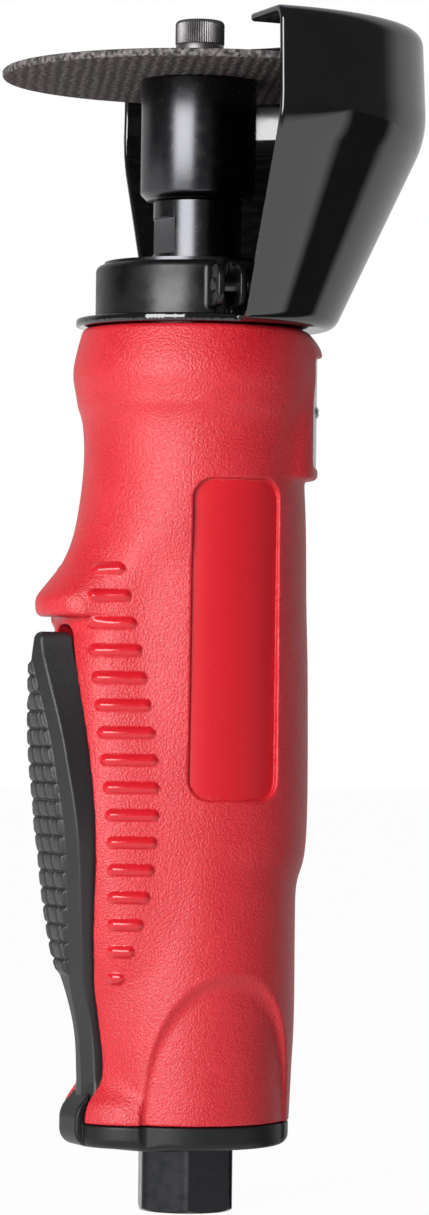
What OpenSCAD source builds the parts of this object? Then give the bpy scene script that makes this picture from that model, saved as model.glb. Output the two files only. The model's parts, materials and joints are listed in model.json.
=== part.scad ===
// In-line air cut-off tool: moulded grip, throttle lever, vane motor and a guarded cutting disc.
// Z runs along the spindle, and z 0 is the end face of the air inlet.
// The throttle lever is on the -X side, and the grip is alike on its -Y and +Y sides.

/* [Air inlet] */
// Across flats of the inlet hex
hex_af = 17.46; // [16.6:0.02:19]
// Length of the hex below the end cap
hex_h = 12.9; // [11:0.1:14]
// Turn of the hex about the spindle
hex_turn = 10; // [0:1:60]
// Diameter of the threaded inlet bore
inlet_d = 11.5; // [10:0.1:12]
// Depth of the threaded inlet bore
inlet_depth = 12; // [9:0.5:14]
// Diameter of the narrower bore above the inlet screen
inlet_throat_d = 9.2; // [7:0.1:9.6]
// Thickness of the inlet screen
screen_t = 1; // [0.6:0.1:1.5]
// Diameter of one hole in the inlet screen
screen_hole_d = 1.4; // [1:0.1:1.6]
// Diameter of the inlet stem inside the grip
stem_d = 14.8; // [14.6:0.1:16]
// Length of the inlet stem inside the grip
stem_in = 10; // [8:0.5:11]
// Wire diameter of the inlet seal ring
seal_wire_d = 1.3; // [1:0.1:1.5]

/* [End cap] */
// Height of the end cap
cap_h = 4.6; // [4.4:0.1:7]
// Rounding of the end cap's lower edge
cap_round = 2; // [1:0.1:3]
// Reach of the ear that covers the foot of the lever, from the spindle axis
ear_u = 25; // [24.4:0.1:26]
// Height of the ear above the end cap
ear_rise = 5; // [3.5:0.1:6]
// Diameter of one exhaust hole
exhaust_hole_d = 3; // [2:0.1:3.6]
// Exhaust holes on each side
exhaust_holes = 5; // [3:1:6]

/* [Grip] */
// Length of the grip between the end cap and the guard
grip_len = 152; // [148:0.5:165]
// Radius of the grip at its lower end
foot_r = 19.8; // [19.4:0.1:21]
// Radius of the lower handle
handle_r = 20.6; // [20:0.1:21.4]
// Radius of the grip beside the motor
barrel_r = 21.3; // [20.6:0.1:22]
// Radius of the bulge at the nose
nose_r = 23.6; // [22.5:0.1:25]
// Radius of the grip's upper edge
nose_edge_r = 21.8; // [21:0.1:22.4]
// How far the palm swell stands off the spindle axis
swell_shift = 2.1; // [1.5:0.1:2.6]
// Radius of the palm swell about its own axis
swell_r = 20.6; // [20:0.1:21]
// Reach of the finger stop above the lever
lip_u = 31.9; // [31:0.1:33]
// Width of the finger stop
stop_w = 13; // [11:0.5:15]
// Reach of the rails beside the upper end of the lever
rail_top_u = 27.5; // [26.5:0.1:28.5]
// Reach of the rails beside the middle of the lever
rail_mid_u = 24; // [23.4:0.1:25]
// Reach of the rails beside the lever arm
rail_low_u = 19.8; // [19.6:0.1:20.6]
// Reach of the flare beside the foot of the lever
flare_u = 23.8; // [23:0.1:24.2]
// Half width of the lever side of the grip, near the spindle
flank_root_w = 19; // [18.6:0.1:19.4]
// Half width of the lever side of the grip, at the finger stop
flank_tip_w = 9.6; // [9.2:0.1:11]
// Width of the arched recess on each side
arch_w = 30; // [26:0.2:32]
// Height of the arched recess above the lower end of the grip
arch_h = 27.2; // [22:0.2:32]
// Depth of the arched recess at the lower end of the grip
arch_depth = 0.5; // [0.3:0.1:0.8]
// Width of the recessed side panel
panel_w = 18; // [14:0.2:20]
// Height of the recessed side panel
panel_h = 61; // [50:0.5:64]
// Corner radius of the recessed side panel
panel_round = 5; // [2:0.5:7]
// Depth of the recessed side panel
panel_depth = 0.6; // [0.3:0.1:0.9]
// Distance from the nose to the middle of the side panel
panel_drop = 59.8; // [58:0.2:63]

/* [Side plate] */
// Half angle that the side plate covers
plate_half_a = 41.5; // [36:0.5:44]
// Height of the side plate
plate_h = 21.6; // [19:0.1:22.4]
// Thickness of the side plate
plate_t = 0.7; // [0.5:0.1:1]
// Outer radius of the side plate
plate_r = 23.5; // [23.2:0.1:24]
// Half angle between the two plate screws
plate_screw_a = 32; // [28:0.5:36]
// Head diameter of a plate screw
plate_head_d = 2.7; // [2.2:0.1:3.4]
// Shank diameter of a plate screw
plate_shank_d = 1.6; // [1.2:0.1:1.8]

/* [Throttle lever] */
// Reach of the lever above its pivot pin
lever_reach = 89; // [87:0.5:92]
// Width of the lever arm
arm_w = 8.8; // [8:0.1:9.4]
// Width of the lever paddle
paddle_w = 19.4; // [17:0.1:20]
// Width of the upper end of the lever
tip_w = 9.2; // [8:0.1:11]
// Outer face of the lever at its foot, from the spindle axis
lever_low_u = 21.8; // [21.6:0.1:22]
// Outer face of the lever at its paddle, from the spindle axis
lever_mid_u = 28.6; // [28:0.1:29.4]
// Outer face of the lever at its upper end, from the spindle axis
lever_top_u = 32.9; // [32:0.1:34]
// Thickness of the lever arm
arm_t = 5.2; // [4.4:0.1:5.6]
// Thickness of the lever paddle
paddle_t = 6.4; // [5:0.1:6.8]
// Diameter of the pivot pin
pin_d = 3; // [2.4:0.1:3.4]
// Distance of the pivot pin from the spindle axis
pin_u = 17.6; // [17.4:0.1:18]
// Height of the pivot pin above the lower end of the grip
pin_rise = 4.3; // [4.3:0.1:5]
// Radius of the lever's foot around the pin
foot_eye_r = 3.8; // [3.2:0.1:3.9]

/* [Throttle valve] */
// Height of the valve above the pivot pin
valve_rise = 28.5; // [26:0.5:34]
// Outer diameter of the valve bushing
valve_d = 10.4; // [9.6:0.1:11]
// Diameter of the valve stem
valve_rod_d = 4; // [3:0.1:4.4]
// Diameter of the valve head
valve_head_d = 8.4; // [7.6:0.1:8.8]
// Length of the valve spring
spring_len = 10; // [9:0.1:11]
// Wire diameter of the valve spring
spring_wire_d = 0.7; // [0.5:0.1:0.9]
// Turns of the valve spring
spring_turns = 5; // [4:1:7]

/* [Vane motor] */
// Diameter of the motor bore in the grip
motor_d = 32; // [31:0.1:32.4]
// Length of the cylinder
cylinder_len = 38; // [34:0.5:40]
// Diameter of the cylinder's eccentric bore
chamber_d = 25.2; // [24.6:0.1:25.6]
// Diameter of the rotor
rotor_d = 22; // [20:0.1:22.4]
// Thickness of a vane
vane_t = 1.9; // [1.4:0.1:2.4]
// Radial depth of a vane
vane_depth = 5.6; // [4:0.1:6]
// Thickness of the end plates
end_plate_t = 3; // [2.5:0.1:4]
// Diameter of the alignment dowel
dowel_d = 2.4; // [1.6:0.1:2.6]

/* [Bearings] */
// Bore of the front bearing
front_bore_d = 12; // [11.6:0.1:12.4]
// Outer diameter of the front bearing
front_od = 28; // [27.4:0.1:28.4]
// Width of the front bearing
front_w = 8; // [7.5:0.1:8.5]
// Bore of the rear bearing
rear_bore_d = 8; // [7.6:0.1:8.4]
// Outer diameter of the rear bearing
rear_od = 22; // [21.4:0.1:23]
// Width of the rear bearing
rear_w = 7; // [6.5:0.1:7.5]

/* [Nose and spindle] */
// Diameter of the nose that carries the guard
nose_d = 35.7; // [34.8:0.1:36.4]
// Length of the nose nut's thread in the grip
nut_thread_len = 12.2; // [11:0.1:13]
// Diameter of the spindle neck
neck_d = 17.1; // [16.5:0.1:17.6]
// Length of the spindle neck above the grip
neck_reach = 24.9; // [23:0.1:28]
// Across flats of the wrench flats on the neck
neck_af = 14; // [13:0.1:15]
// Length of the wrench flats
neck_flat_h = 7; // [5:0.1:8]
// Diameter of the wheel arbor
arbor_d = 22.2; // [20:0.1:26]
// Length of the wheel arbor
arbor_h = 23.3; // [22:0.1:26]
// Chamfer of the wheel arbor's lower edge
arbor_chamfer = 1.1; // [0.5:0.1:2]

/* [Cutting disc] */
// Diameter of the cutting disc
disc_d = 76.2; // [70:0.1:78]
// Thickness of the cutting disc
disc_t = 1.5; // [1.2:0.1:2]
// Bore of the cutting disc
disc_bore_d = 9.6; // [9:0.1:10.4]
// Diameter of the outer flange on the disc
flange_d = 18; // [14:0.5:22]
// Thickness of the outer flange
flange_t = 2.4; // [1.5:0.1:3]
// Thickness of the lock washer
lock_t = 1.6; // [1:0.1:2]
// Head diameter of the disc screw
screw_head_d = 9.5; // [9:0.1:10]
// Head height of the disc screw
screw_head_h = 6.2; // [5:0.1:7]
// Shank diameter of the disc screw
screw_d = 6.2; // [5:0.1:6.4]
// Across flats of the disc screw's socket
socket_af = 5; // [4:0.1:5.5]

/* [Guard] */
// Gap between the edge of the disc and the guard drum
guard_gap = 3.8; // [2.5:0.1:6]
// Radius of the opening in the guard's upper flange
guard_mouth_r = 28.8; // [24:0.1:34]
// Thickness of the guard sheet
sheet_t = 1.6; // [1.2:0.1:2]
// Height of the guard's upper face above the disc
guard_over = 8.2; // [6:0.1:10]
// Height of the guard drum
drum_h = 20.3; // [17:0.1:22]
// Radius of the foot of the guard skirt
skirt_r = 26.6; // [25.6:0.1:28]
// Radius of the guard's base ring
base_ring_r = 23.2; // [22:0.1:24.5]
// Angle that the guard covers
guard_span = 180; // [160:1:190]
// Turn of the guard about the spindle
guard_turn = -4.5; // [-20:0.5:20]
// Height of the clamp collar
collar_h = 10.4; // [10:0.1:11]
// Opening of the clamp collar's split
split_w = 2.6; // [2:0.1:3]
// Diameter of the clamp screw
clamp_d = 3; // [2.5:0.1:3.2]

/* [Hidden] */
$fn = 64;
// Clearances, all measured on the radius or between faces
seat_gap = 0.05;
run_gap = 0.05;
free_gap = 0.3;
lever_side_gap = 0.6;
over = 1;

// Heights along the spindle
z_cap0 = hex_h;
z_grip0 = z_cap0 + cap_h;
z_grip1 = z_grip0 + grip_len;
z_guard0 = z_grip1 + 0.2;
z_collar0 = z_guard0 + sheet_t;
z_collar1 = z_collar0 + collar_h;
z_arbor0 = z_grip1 + neck_reach;
z_disc0 = z_arbor0 + arbor_h;
z_disc1 = z_disc0 + disc_t;
z_flange1 = z_disc1 + flange_t;
z_lock1 = z_flange1 + lock_t;
z_head1 = z_lock1 + screw_head_h;
z_hood1 = z_disc1 + guard_over;
z_drum0 = z_hood1 - drum_h;

// Motor stack, from the nose nut down to the air chamber under the motor
z_nut0 = z_grip1 - nut_thread_len;
front_cup_h = front_w + 1;
z_front_plate = z_nut0 - front_cup_h - end_plate_t;
z_cyl1 = z_front_plate;
z_cyl0 = z_cyl1 - cylinder_len;
rear_cup_h = rear_w + 2;
z_rear_plate0 = z_cyl0 - end_plate_t - rear_cup_h;
z_front_bearing = z_nut0 - front_cup_h + free_gap;
z_rear_bearing = z_cyl0 - end_plate_t - free_gap - rear_w;
plenum_h = 4;
z_plenum0 = z_rear_plate0 - plenum_h;
motor_r = motor_d / 2;
stack_r = motor_r - seat_gap;
nose_thread_r = nose_d / 2 - 0.2;
plenum_r = motor_r - 0.8;
chamber_r = chamber_d / 2;
rotor_r = rotor_d / 2;
chamber_shift = chamber_r - rotor_r - free_gap;
neck_r = neck_d / 2;
neck_foot_r = neck_r - 1;
shaft_tip_r = front_bore_d / 2 - 1;
shaft_tip_len = 22;
stud_r = 4;
stud_len = 11;

// Throttle lever
z_pin = z_grip0 + pin_rise;
z_lever1 = z_pin + lever_reach;
lip_gap = 2.9;
z_lip = z_lever1 + lip_gap;
slot_w = arm_w + 2 * lever_side_gap;
ear_w = arm_w - 0.3;
ear_in_u = pin_u + foot_eye_r + lever_side_gap;
floor_low_u = motor_r - 0.8;
floor_top_u = motor_r + 2.3;
foot_floor_u = pin_u - foot_eye_r - lever_side_gap;
pin_hold = 3.4;
pin_len = slot_w + 2 * pin_hold;

// Throttle valve, which lies across the grip along X
z_valve = z_pin + valve_rise;
valve_r = valve_d / 2;
valve_rod_r = valve_rod_d / 2;
valve_head_r = valve_head_d / 2;
valve_seat_x = -1.5;
valve_guide_x = -9;
valve_seal_t = 1;
valve_head_t = 2;
valve_head_x = valve_seat_x + 0.2 + valve_seal_t;
spring_x = valve_head_x + valve_head_t + 0.1;
valve_end_x = spring_x + spring_len + 0.1;
supply_x = 5;
supply_r = 3.2;
delivery_x = -6;
delivery_r = 2.6;

// Seat of the inlet screen, a little narrower than the thread
screen_seat_r = inlet_d / 2 - 0.4;

// Exhaust path along the sides of the grip
exhaust_y = 15.9;
exhaust_r = 2.2;
muffler_in_r = stem_d / 2 + 1.9;
muffler_out_r = 17.4;
muffler_half_a = 46;
muffler_h = 8;
muffler_mid_r = (muffler_in_r + muffler_out_r) / 2;

// Side plate and its raised border
z_plate_mid = z_grip1 - 15.8;
z_plate0 = z_plate_mid - plate_h / 2;
z_plate1 = z_plate_mid + plate_h / 2;
plate_seat_r = plate_r - plate_t;
boss_r = plate_r + 0.3;
boss_border = 2.2;
boss_half_w = plate_r * sin(plate_half_a) + 1.7;
boss_edge_x = sqrt(boss_r * boss_r - boss_half_w * boss_half_w);
boss_lean = 12;
plate_head_h = 0.6;
plate_shank_len = 4;

// Disc screw and arbor
arbor_r = arbor_d / 2;
pilot_r = disc_bore_d / 2 - run_gap;
pilot_h = disc_t - 0.4;
screw_r = screw_d / 2;
screw_len = 10;
washer_bore_r = screw_r + 0.2;
lock_r = screw_head_d / 2 + 0.15;
lock_split = 0.8;

// Guard drum and clamp
guard_r = disc_d / 2 + guard_gap + sheet_t;
collar_in_r = nose_d / 2 + run_gap;
collar_r = collar_in_r + sheet_t;
clamp_u = collar_r + 2.9;
lug_u = collar_r + 6;
lug_h = 8;
z_clamp = z_collar0 + collar_h / 2;
split_a = guard_turn - guard_span / 2 - 5;
clamp_head_r = clamp_d / 2 + 1.1;
clamp_head_h = 2.4;

// A smooth curve through a few points
function spline_at(a, b, c, d, t) =
    0.5 * (2 * b + (c - a) * t + (2 * a - 5 * b + 4 * c - d) * t * t + (3 * b - a - 3 * c + d) * t * t * t);
function smooth(p, n = 3) = concat(
    [for (i = [0 : len(p) - 2], j = [0 : n - 1])
        spline_at(p[max(i - 1, 0)], p[i], p[i + 1], p[min(i + 2, len(p) - 1)], j / n)],
    [p[len(p) - 1]]
);
function arc(cx, cy, r, a0, a1, n) =
    [for (i = [0 : n]) [cx + r * cos(a0 + (a1 - a0) * i / n), cy + r * sin(a0 + (a1 - a0) * i / n)]];
function reversed(p) = [for (i = [len(p) - 1 : -1 : 0]) p[i]];
function mirrored(p) = [for (q = p) [-q[0], q[1]]];

// Outline of the grip's round body, as radius and height
grip_line = smooth([
    [foot_r, z_grip0],
    [(foot_r + handle_r) / 2, z_grip0 + 10],
    [handle_r, z_grip0 + 21],
    [handle_r, z_grip0 + 46],
    [barrel_r, z_grip1 - 63],
    [barrel_r, z_grip1 - 24],
    [nose_r - 0.8, z_grip1 - 14.4],
    [nose_r, z_grip1 - 8],
    [nose_edge_r, z_grip1]
], 4);

// Palm swell opposite the lever, about an axis of its own
swell_line = smooth([
    [swell_r - 2.4, z_grip0 + 44],
    [swell_r, z_grip0 + 54],
    [swell_r, z_grip0 + 82],
    [swell_r - 0.5, z_grip1 - 53],
    [swell_r - 1.2, z_grip1 - 33]
], 3);

// Edge of the grip on the lever side, as reach from the spindle and height
rail_line = smooth([
    [flare_u, z_grip0],
    [flare_u - 0.6, z_grip0 + 3.6],
    [rail_low_u, z_grip0 + 10],
    [rail_low_u + 1.4, z_grip0 + 20],
    [rail_mid_u - 0.3, z_grip0 + 34],
    [rail_mid_u + 0.6, z_grip0 + 52],
    [rail_top_u - 1.9, z_lip - 26],
    [rail_top_u - 0.4, z_lip - 10],
    [rail_top_u - 1.2, z_lip - 2]
]);

// Root of the finger stop, which runs up from the rails into the round nose
root_shift = 6;
root_line = smooth([
    [rail_top_u - 4, z_lip - 9],
    [rail_top_u - 0.4, z_lip - 1],
    [rail_top_u - 1.1, z_lip + 5],
    [barrel_r + 3.4, z_lip + 11],
    [barrel_r + 2, z_lip + 18],
    [barrel_r - 1, z_lip + 33]
]);

// Finger stop, a visor with a round front about an axis of its own
stop_u = 20;
lip_line = smooth([
    [lip_u - 0.5, z_lip],
    [lip_u, z_lip + 1.8],
    [lip_u - 0.3, z_lip + 3.9],
    [lip_u - 2.4, z_lip + 6.5],
    [lip_u - 4.3, z_lip + 9.4],
    [lip_u - 5.9, z_lip + 12.3],
    [stop_u + 1, z_lip + 22]
]);

// Reaches between which the flanks are straight
flank_u0 = 8;
flank_u1 = rail_top_u + 3.9;

// Half outline of the lever seen from its outer face, as half width and height
lever_leaf = smooth([
    [arm_w / 2, z_pin - foot_eye_r],
    [arm_w / 2, z_pin],
    [arm_w / 2, z_pin + 19],
    [(arm_w + paddle_w) / 4, z_pin + 29],
    [paddle_w / 2, z_pin + 50],
    [paddle_w / 2 - 1.2, z_pin + 66],
    [(tip_w + paddle_w) / 4 - 0.6, z_pin + 80],
    [tip_w / 2, z_lever1 - 1.5],
    [tip_w / 2 - 1.5, z_lever1]
]);

// Round outline of the rails about an axis nearer the lever, through the edges of the lever's well
rail_shift = 10;
rail_over = 3;
leaf_at = [for (p = lever_leaf) [p[1], p[0]]];
function rail_r(u, z) = norm([u - rail_shift, lookup(z, leaf_at) + lever_side_gap]);
rail_round = concat(
    [for (p = rail_line) [rail_r(p[0], p[1]), p[1]]],
    [[rail_r(rail_top_u - 1.4, z_lip), z_lip + rail_over]]
);

// Outer and inner faces of the lever, as reach from the spindle and height
lever_outer = smooth([
    [lever_low_u, z_pin],
    [lever_low_u + 0.1, z_pin + 5],
    [lever_low_u + 0.9, z_pin + 14],
    [(lever_low_u + lever_mid_u) / 2 + 0.9, z_pin + 28.5],
    [lever_mid_u, z_pin + 50],
    [(lever_mid_u + lever_top_u) / 2 + 0.4, z_pin + 70],
    [lever_top_u, z_lever1 - 5],
    [lever_top_u - 0.5, z_lever1]
]);
lever_inner = smooth([
    [pin_u, z_pin],
    [lever_low_u + 0.4 - arm_t, z_pin + 9],
    [lever_low_u + 0.9 - arm_t, z_pin + 14],
    [(lever_low_u + lever_mid_u) / 2 + 0.9 - arm_t, z_pin + 28.5],
    [lever_mid_u - paddle_t, z_pin + 50],
    [(lever_mid_u + lever_top_u) / 2 + 0.4 - paddle_t, z_pin + 70],
    [lever_top_u - paddle_t, z_lever1 - 5],
    [lever_top_u - paddle_t, z_lever1]
]);
valve_tip_x = -((lever_low_u + lever_mid_u) / 2 + 0.9 - arm_t - free_gap);

// A tube or washer on the spindle axis
module ring(r_out, r_in, z0, h) {
    translate([0, 0, z0])
    difference() {
        cylinder(r = r_out, h = h);
        translate([0, 0, -over]) cylinder(r = r_in, h = h + 2 * over);
    }
}

// An outline of reach and height on the lever side, drawn out to both sides of the middle plane
module lever_side(points, width) {
    rotate([90, 0, 0]) linear_extrude(width, center = true) polygon(mirrored(points));
}

// An outline seen from the lever side, as half width and height, cut along X from x0 to x1
module lever_front(half, x0, x1) {
    translate([x0, 0, 0])
    rotate([90, 0, 90])
    linear_extrude(x1 - x0)
    polygon(concat(half, reversed(mirrored(half))));
}

// A cylinder along X
module along_x(r, x0, x1, z) {
    translate([x0, 0, z]) rotate([0, 90, 0]) cylinder(r = r, h = x1 - x0);
}

// Straight flanks that close in from the round body towards the lever
module flanks(z0, h) {
    half = [[-flank_u0, flank_root_w], [-flank_u1, flank_tip_w]];
    other = [[-flank_u1, -flank_tip_w], [-flank_u0, -flank_root_w]];
    translate([0, 0, z0]) linear_extrude(h) polygon(concat(half, other));
}

// Arched recess on both sides, shared by the grip and the end cap
module side_arches() {
    half_w = arch_w / 2;
    rise = z_grip0 + arch_h - z_cap0 + over;
    outline = [for (a = [0 : 9 : 180]) [half_w * cos(a), z_cap0 - over + rise * sin(a)]];
    difference() {
        rotate([90, 0, 0]) linear_extrude(4 * nose_r, center = true) polygon(outline);
        cylinder(r = foot_r - arch_depth, h = z_grip1);
    }
}

// Recessed panel on both sides
module side_panels() {
    x = panel_w / 2 - panel_round;
    y = panel_h / 2 - panel_round;
    outline = concat(
        arc(x, y, panel_round, 0, 90, 6), arc(-x, y, panel_round, 90, 180, 6),
        arc(-x, -y, panel_round, 180, 270, 6), arc(x, -y, panel_round, 270, 360, 6)
    );
    difference() {
        translate([0, 0, z_grip1 - panel_drop])
        rotate([90, 0, 0])
        linear_extrude(4 * nose_r, center = true)
        polygon(outline);
        cylinder(r = barrel_r - panel_depth, h = z_grip1);
    }
}

module grip_body() {
    rotate_extrude() polygon(concat([[0, z_grip0]], grip_line, [[0, z_grip1]]));
    translate([swell_shift, 0, 0])
    rotate_extrude()
    polygon(concat([[0, z_grip0 + 44]], swell_line, [[0, z_grip1 - 33]]));
    intersection() {
        flanks(z_grip0, grip_len);
        union() {
            shifted_turn(rail_shift, concat([[0, z_grip0]], rail_round, [[0, z_lip + rail_over]]));
            shifted_turn(root_shift, about(root_line, root_shift));
        }
    }
    intersection() {
        shifted_turn(stop_u, about(lip_line, stop_u));
        translate([-2 * nose_r, -stop_w / 2, 0]) cube([2 * nose_r, stop_w, z_grip1]);
    }
    plate_boss();
}

// Round solid about an upright axis on the lever side, and an outline drawn about that axis
module shifted_turn(u, outline) {
    translate([-u, 0, 0]) rotate_extrude() polygon(outline);
}
function about(line, u) = concat(
    [[0, line[0][1]]],
    [for (p = line) [p[0] - u, p[1]]],
    [[0, line[len(line) - 1][1]]]
);

// Pad on the +X side that carries the side plate, with sides that lean out towards the round body
module plate_boss() {
    root_w = boss_half_w + boss_edge_x * tan(boss_lean);
    tip_w = boss_half_w - (nose_r - boss_edge_x) * tan(boss_lean);
    intersection() {
        rotate_extrude()
        polygon([
            [0, z_plate0 - boss_border],
            [barrel_r - 0.4, z_plate0 - boss_border],
            [boss_r, z_plate0 - boss_border + 1],
            [boss_r, z_plate1 + boss_border - 1],
            [nose_r - 1, z_plate1 + boss_border],
            [0, z_plate1 + boss_border]
        ]);
        linear_extrude(z_grip1)
        polygon([
            [0, -root_w], [nose_r, -tip_w], [boss_r + over, -tip_w],
            [boss_r + over, tip_w], [nose_r, tip_w], [0, root_w]
        ]);
    }
}

// Leaf-shaped well for the lever, with a deeper pocket for its foot
module lever_well() {
    well = concat(
        [[slot_w / 2, z_grip0 - over]],
        [for (p = lever_leaf) if (p[1] < z_lever1 - 2) [p[0] + lever_side_gap, p[1]]],
        [[tip_w / 2 + lever_side_gap, z_lip - 0.5]]
    );
    reach = lip_u + 2 * over;
    difference() {
        lever_front(well, -reach, -floor_low_u);
        translate([-floor_top_u, -nose_r, z_plenum0 - 2]) cube([nose_r, 2 * nose_r, grip_len]);
    }
    foot = [[slot_w / 2, z_grip0 - over], [slot_w / 2, z_pin + foot_eye_r + lever_side_gap]];
    lever_front(foot, -reach, -foot_floor_u);
}

// Air path: inlet, supply to the valve, delivery to the motor and exhaust along the sides
module air_path() {
    translate([0, 0, z_grip0 - over]) cylinder(r = stem_d / 2 + seat_gap, h = stem_in + over);
    translate([0, 0, z_grip0 + stem_in - over]) cylinder(r = stem_d / 2 - 1, h = 3);
    translate([supply_x, 0, z_grip0 + stem_in]) cylinder(r = supply_r, h = z_valve - z_grip0 - stem_in);
    along_x(valve_r + seat_gap, -lip_u, valve_end_x, z_valve);
    translate([delivery_x, 0, z_valve]) cylinder(r = delivery_r, h = z_plenum0 - z_valve + over);
    translate([0, 0, z_plenum0]) cylinder(r = plenum_r, h = plenum_h + over);
    for (side = [-1, 1]) {
        translate([0, side * exhaust_y, z_grip0 + muffler_h - over])
        cylinder(r = exhaust_r, h = z_cyl1 - z_grip0 - muffler_h);
        rotate([0, 0, side * 90 - muffler_half_a])
        rotate_extrude(angle = 2 * muffler_half_a)
        polygon([
            [muffler_in_r, z_grip0 - over], [muffler_out_r, z_grip0 - over],
            [muffler_out_r, z_grip0 + muffler_h], [muffler_in_r, z_grip0 + muffler_h]
        ]);
    }
}

module plate_screw_holes() {
    for (side = [-1, 1])
        rotate([0, 0, side * plate_screw_a])
        along_x(plate_shank_d / 2 + seat_gap, plate_r - plate_shank_len - over, nose_r + 4, z_plate_mid);
}

module grip() {
    pin_slot_w = pin_d + 2 * seat_gap;
    color("firebrick")
    difference() {
        grip_body();
        lever_well();
        air_path();
        side_arches();
        side_panels();
        plate_screw_holes();
        translate([0, 0, z_rear_plate0]) cylinder(r = motor_r, h = z_grip1);
        translate([0, 0, z_nut0]) cylinder(r = nose_thread_r + seat_gap, h = grip_len);
        rotate([0, 0, -plate_half_a])
        rotate_extrude(angle = 2 * plate_half_a)
        translate([plate_seat_r, z_plate0 - seat_gap])
        square([3, plate_h + 2 * seat_gap]);
        translate([-pin_u - pin_slot_w / 2, -pin_len / 2 - seat_gap, z_grip0 - over])
        cube([pin_slot_w, pin_len + 2 * seat_gap, pin_rise + over]);
        translate([-pin_u, 0, z_pin])
        rotate([90, 0, 0])
        cylinder(d = pin_slot_w, h = pin_len + 2 * seat_gap, center = true);
    }
}

module end_cap() {
    cap_r = foot_r - 0.1;
    hole_step = 2 * muffler_half_a / exhaust_holes;
    color("#1c1c1e")
    difference() {
        union() {
            rotate_extrude()
            polygon(concat(
                [[0, z_cap0]],
                arc(cap_r - cap_round, z_cap0 + cap_round, cap_round, -90, 0, 6),
                [[cap_r, z_grip0], [0, z_grip0]]
            ));
            intersection() {
                flanks(z_cap0, cap_h);
                lever_side(concat(
                    [[0, z_cap0]],
                    arc(flare_u - 0.2 - cap_round, z_cap0 + cap_round, cap_round, -90, 0, 6),
                    [[flare_u - 0.2, z_grip0], [0, z_grip0]]
                ), 4 * foot_r);
                translate([-rail_shift, 0, 0]) cylinder(r = rail_r(flare_u, z_grip0) - 0.2, h = z_grip0 + over);
            }
            lever_side(concat(
                [[cap_r - 4, z_cap0]],
                arc(ear_u - 3.6, z_cap0 + 3.6, 3.6, -90, 0, 8),
                [[ear_u, z_grip0 + ear_rise - 2.6], [ear_in_u + 0.6, z_grip0 + ear_rise]],
                [[ear_in_u, z_grip0 + ear_rise - 0.4], [ear_in_u, z_grip0], [cap_r - 4, z_grip0]]
            ), ear_w);
            for (side = [-1, 1])
                translate([-pin_u, side * (slot_w + pin_hold) / 2, z_grip0 + (pin_rise - pin_d / 2) / 2 - 0.1])
                cube([pin_d - 0.2, pin_hold - 2 * free_gap, pin_rise - pin_d / 2 - 0.1], center = true);
        }
        translate([0, 0, z_cap0 - over]) cylinder(r = stem_d / 2 + 0.2, h = cap_h + 2 * over);
        side_arches();
        for (side = [-1, 1], i = [0 : exhaust_holes - 1])
            rotate([0, 0, side * 90 - muffler_half_a + (i + 0.5) * hole_step])
            translate([muffler_mid_r, 0, z_cap0 - over])
            cylinder(d = exhaust_hole_d, h = cap_h + 2 * over);
    }
}

module inlet_bushing() {
    stem_r = stem_d / 2;
    groove_h = seal_wire_d + 0.2;
    z_seal = z_grip0 + stem_in - 3;
    color("#242426")
    difference() {
        union() {
            intersection() {
                rotate([0, 0, hex_turn]) cylinder(d = hex_af / cos(30), h = hex_h, $fn = 6);
                rotate_extrude()
                polygon([[0, 0], [hex_af / 2 + 0.3, 0], [hex_af / 2 + 2.2, 1], [hex_af / 2 + 2.2, hex_h], [0, hex_h]]);
            }
            translate([0, 0, hex_h - over]) cylinder(r = stem_r, h = cap_h + stem_in + over);
        }
        translate([0, 0, -over]) cylinder(d = inlet_d, h = inlet_depth + over);
        translate([0, 0, inlet_depth - over]) cylinder(r = screen_seat_r, h = screen_t + over);
        translate([0, 0, inlet_depth]) cylinder(d = inlet_throat_d, h = z_grip0 + stem_in);
        ring(stem_r + over, stem_r - seal_wire_d, z_seal - groove_h / 2, groove_h);
    }
}

module inlet_screen() {
    pitch = 2;
    color("silver")
    difference() {
        translate([0, 0, inlet_depth]) cylinder(r = screen_seat_r - seat_gap, h = screen_t);
        for (i = [-2 : 2], j = [-2 : 2])
            if (norm([i, j]) * pitch < inlet_throat_d / 2)
                translate([i * pitch, j * pitch, inlet_depth - over])
                cylinder(d = screen_hole_d, h = screen_t + 2 * over);
    }
}

module inlet_seal() {
    color("#111111")
    translate([0, 0, z_grip0 + stem_in - 3])
    rotate_extrude()
    translate([stem_d / 2 - seal_wire_d / 2, 0])
    circle(d = seal_wire_d - 2 * seat_gap);
}

module muffler_pad(side) {
    color("#8a8478")
    rotate([0, 0, side * 90 - muffler_half_a + 1])
    rotate_extrude(angle = 2 * muffler_half_a - 2)
    translate([muffler_in_r + free_gap, z_grip0])
    square([muffler_out_r - muffler_in_r - 2 * free_gap, muffler_h - free_gap]);
}

module side_plate() {
    a = plate_half_a - 0.3;
    color("#c9cacb")
    difference() {
        rotate([0, 0, -a])
        rotate_extrude(angle = 2 * a)
        translate([plate_seat_r, z_plate0])
        square([plate_t, plate_h]);
        plate_screw_holes();
    }
}

module side_plate_screw(side) {
    color("#b0b2b4")
    rotate([0, 0, side * plate_screw_a]) {
        along_x(plate_shank_d / 2, plate_r - plate_shank_len, plate_r + plate_head_h / 2, z_plate_mid);
        along_x(plate_head_d / 2, plate_r, plate_r + plate_head_h, z_plate_mid);
    }
}

module lever_pin() {
    color("silver")
    translate([-pin_u, 0, z_pin])
    rotate([90, 0, 0])
    cylinder(d = pin_d, h = pin_len, center = true);
}

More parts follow.
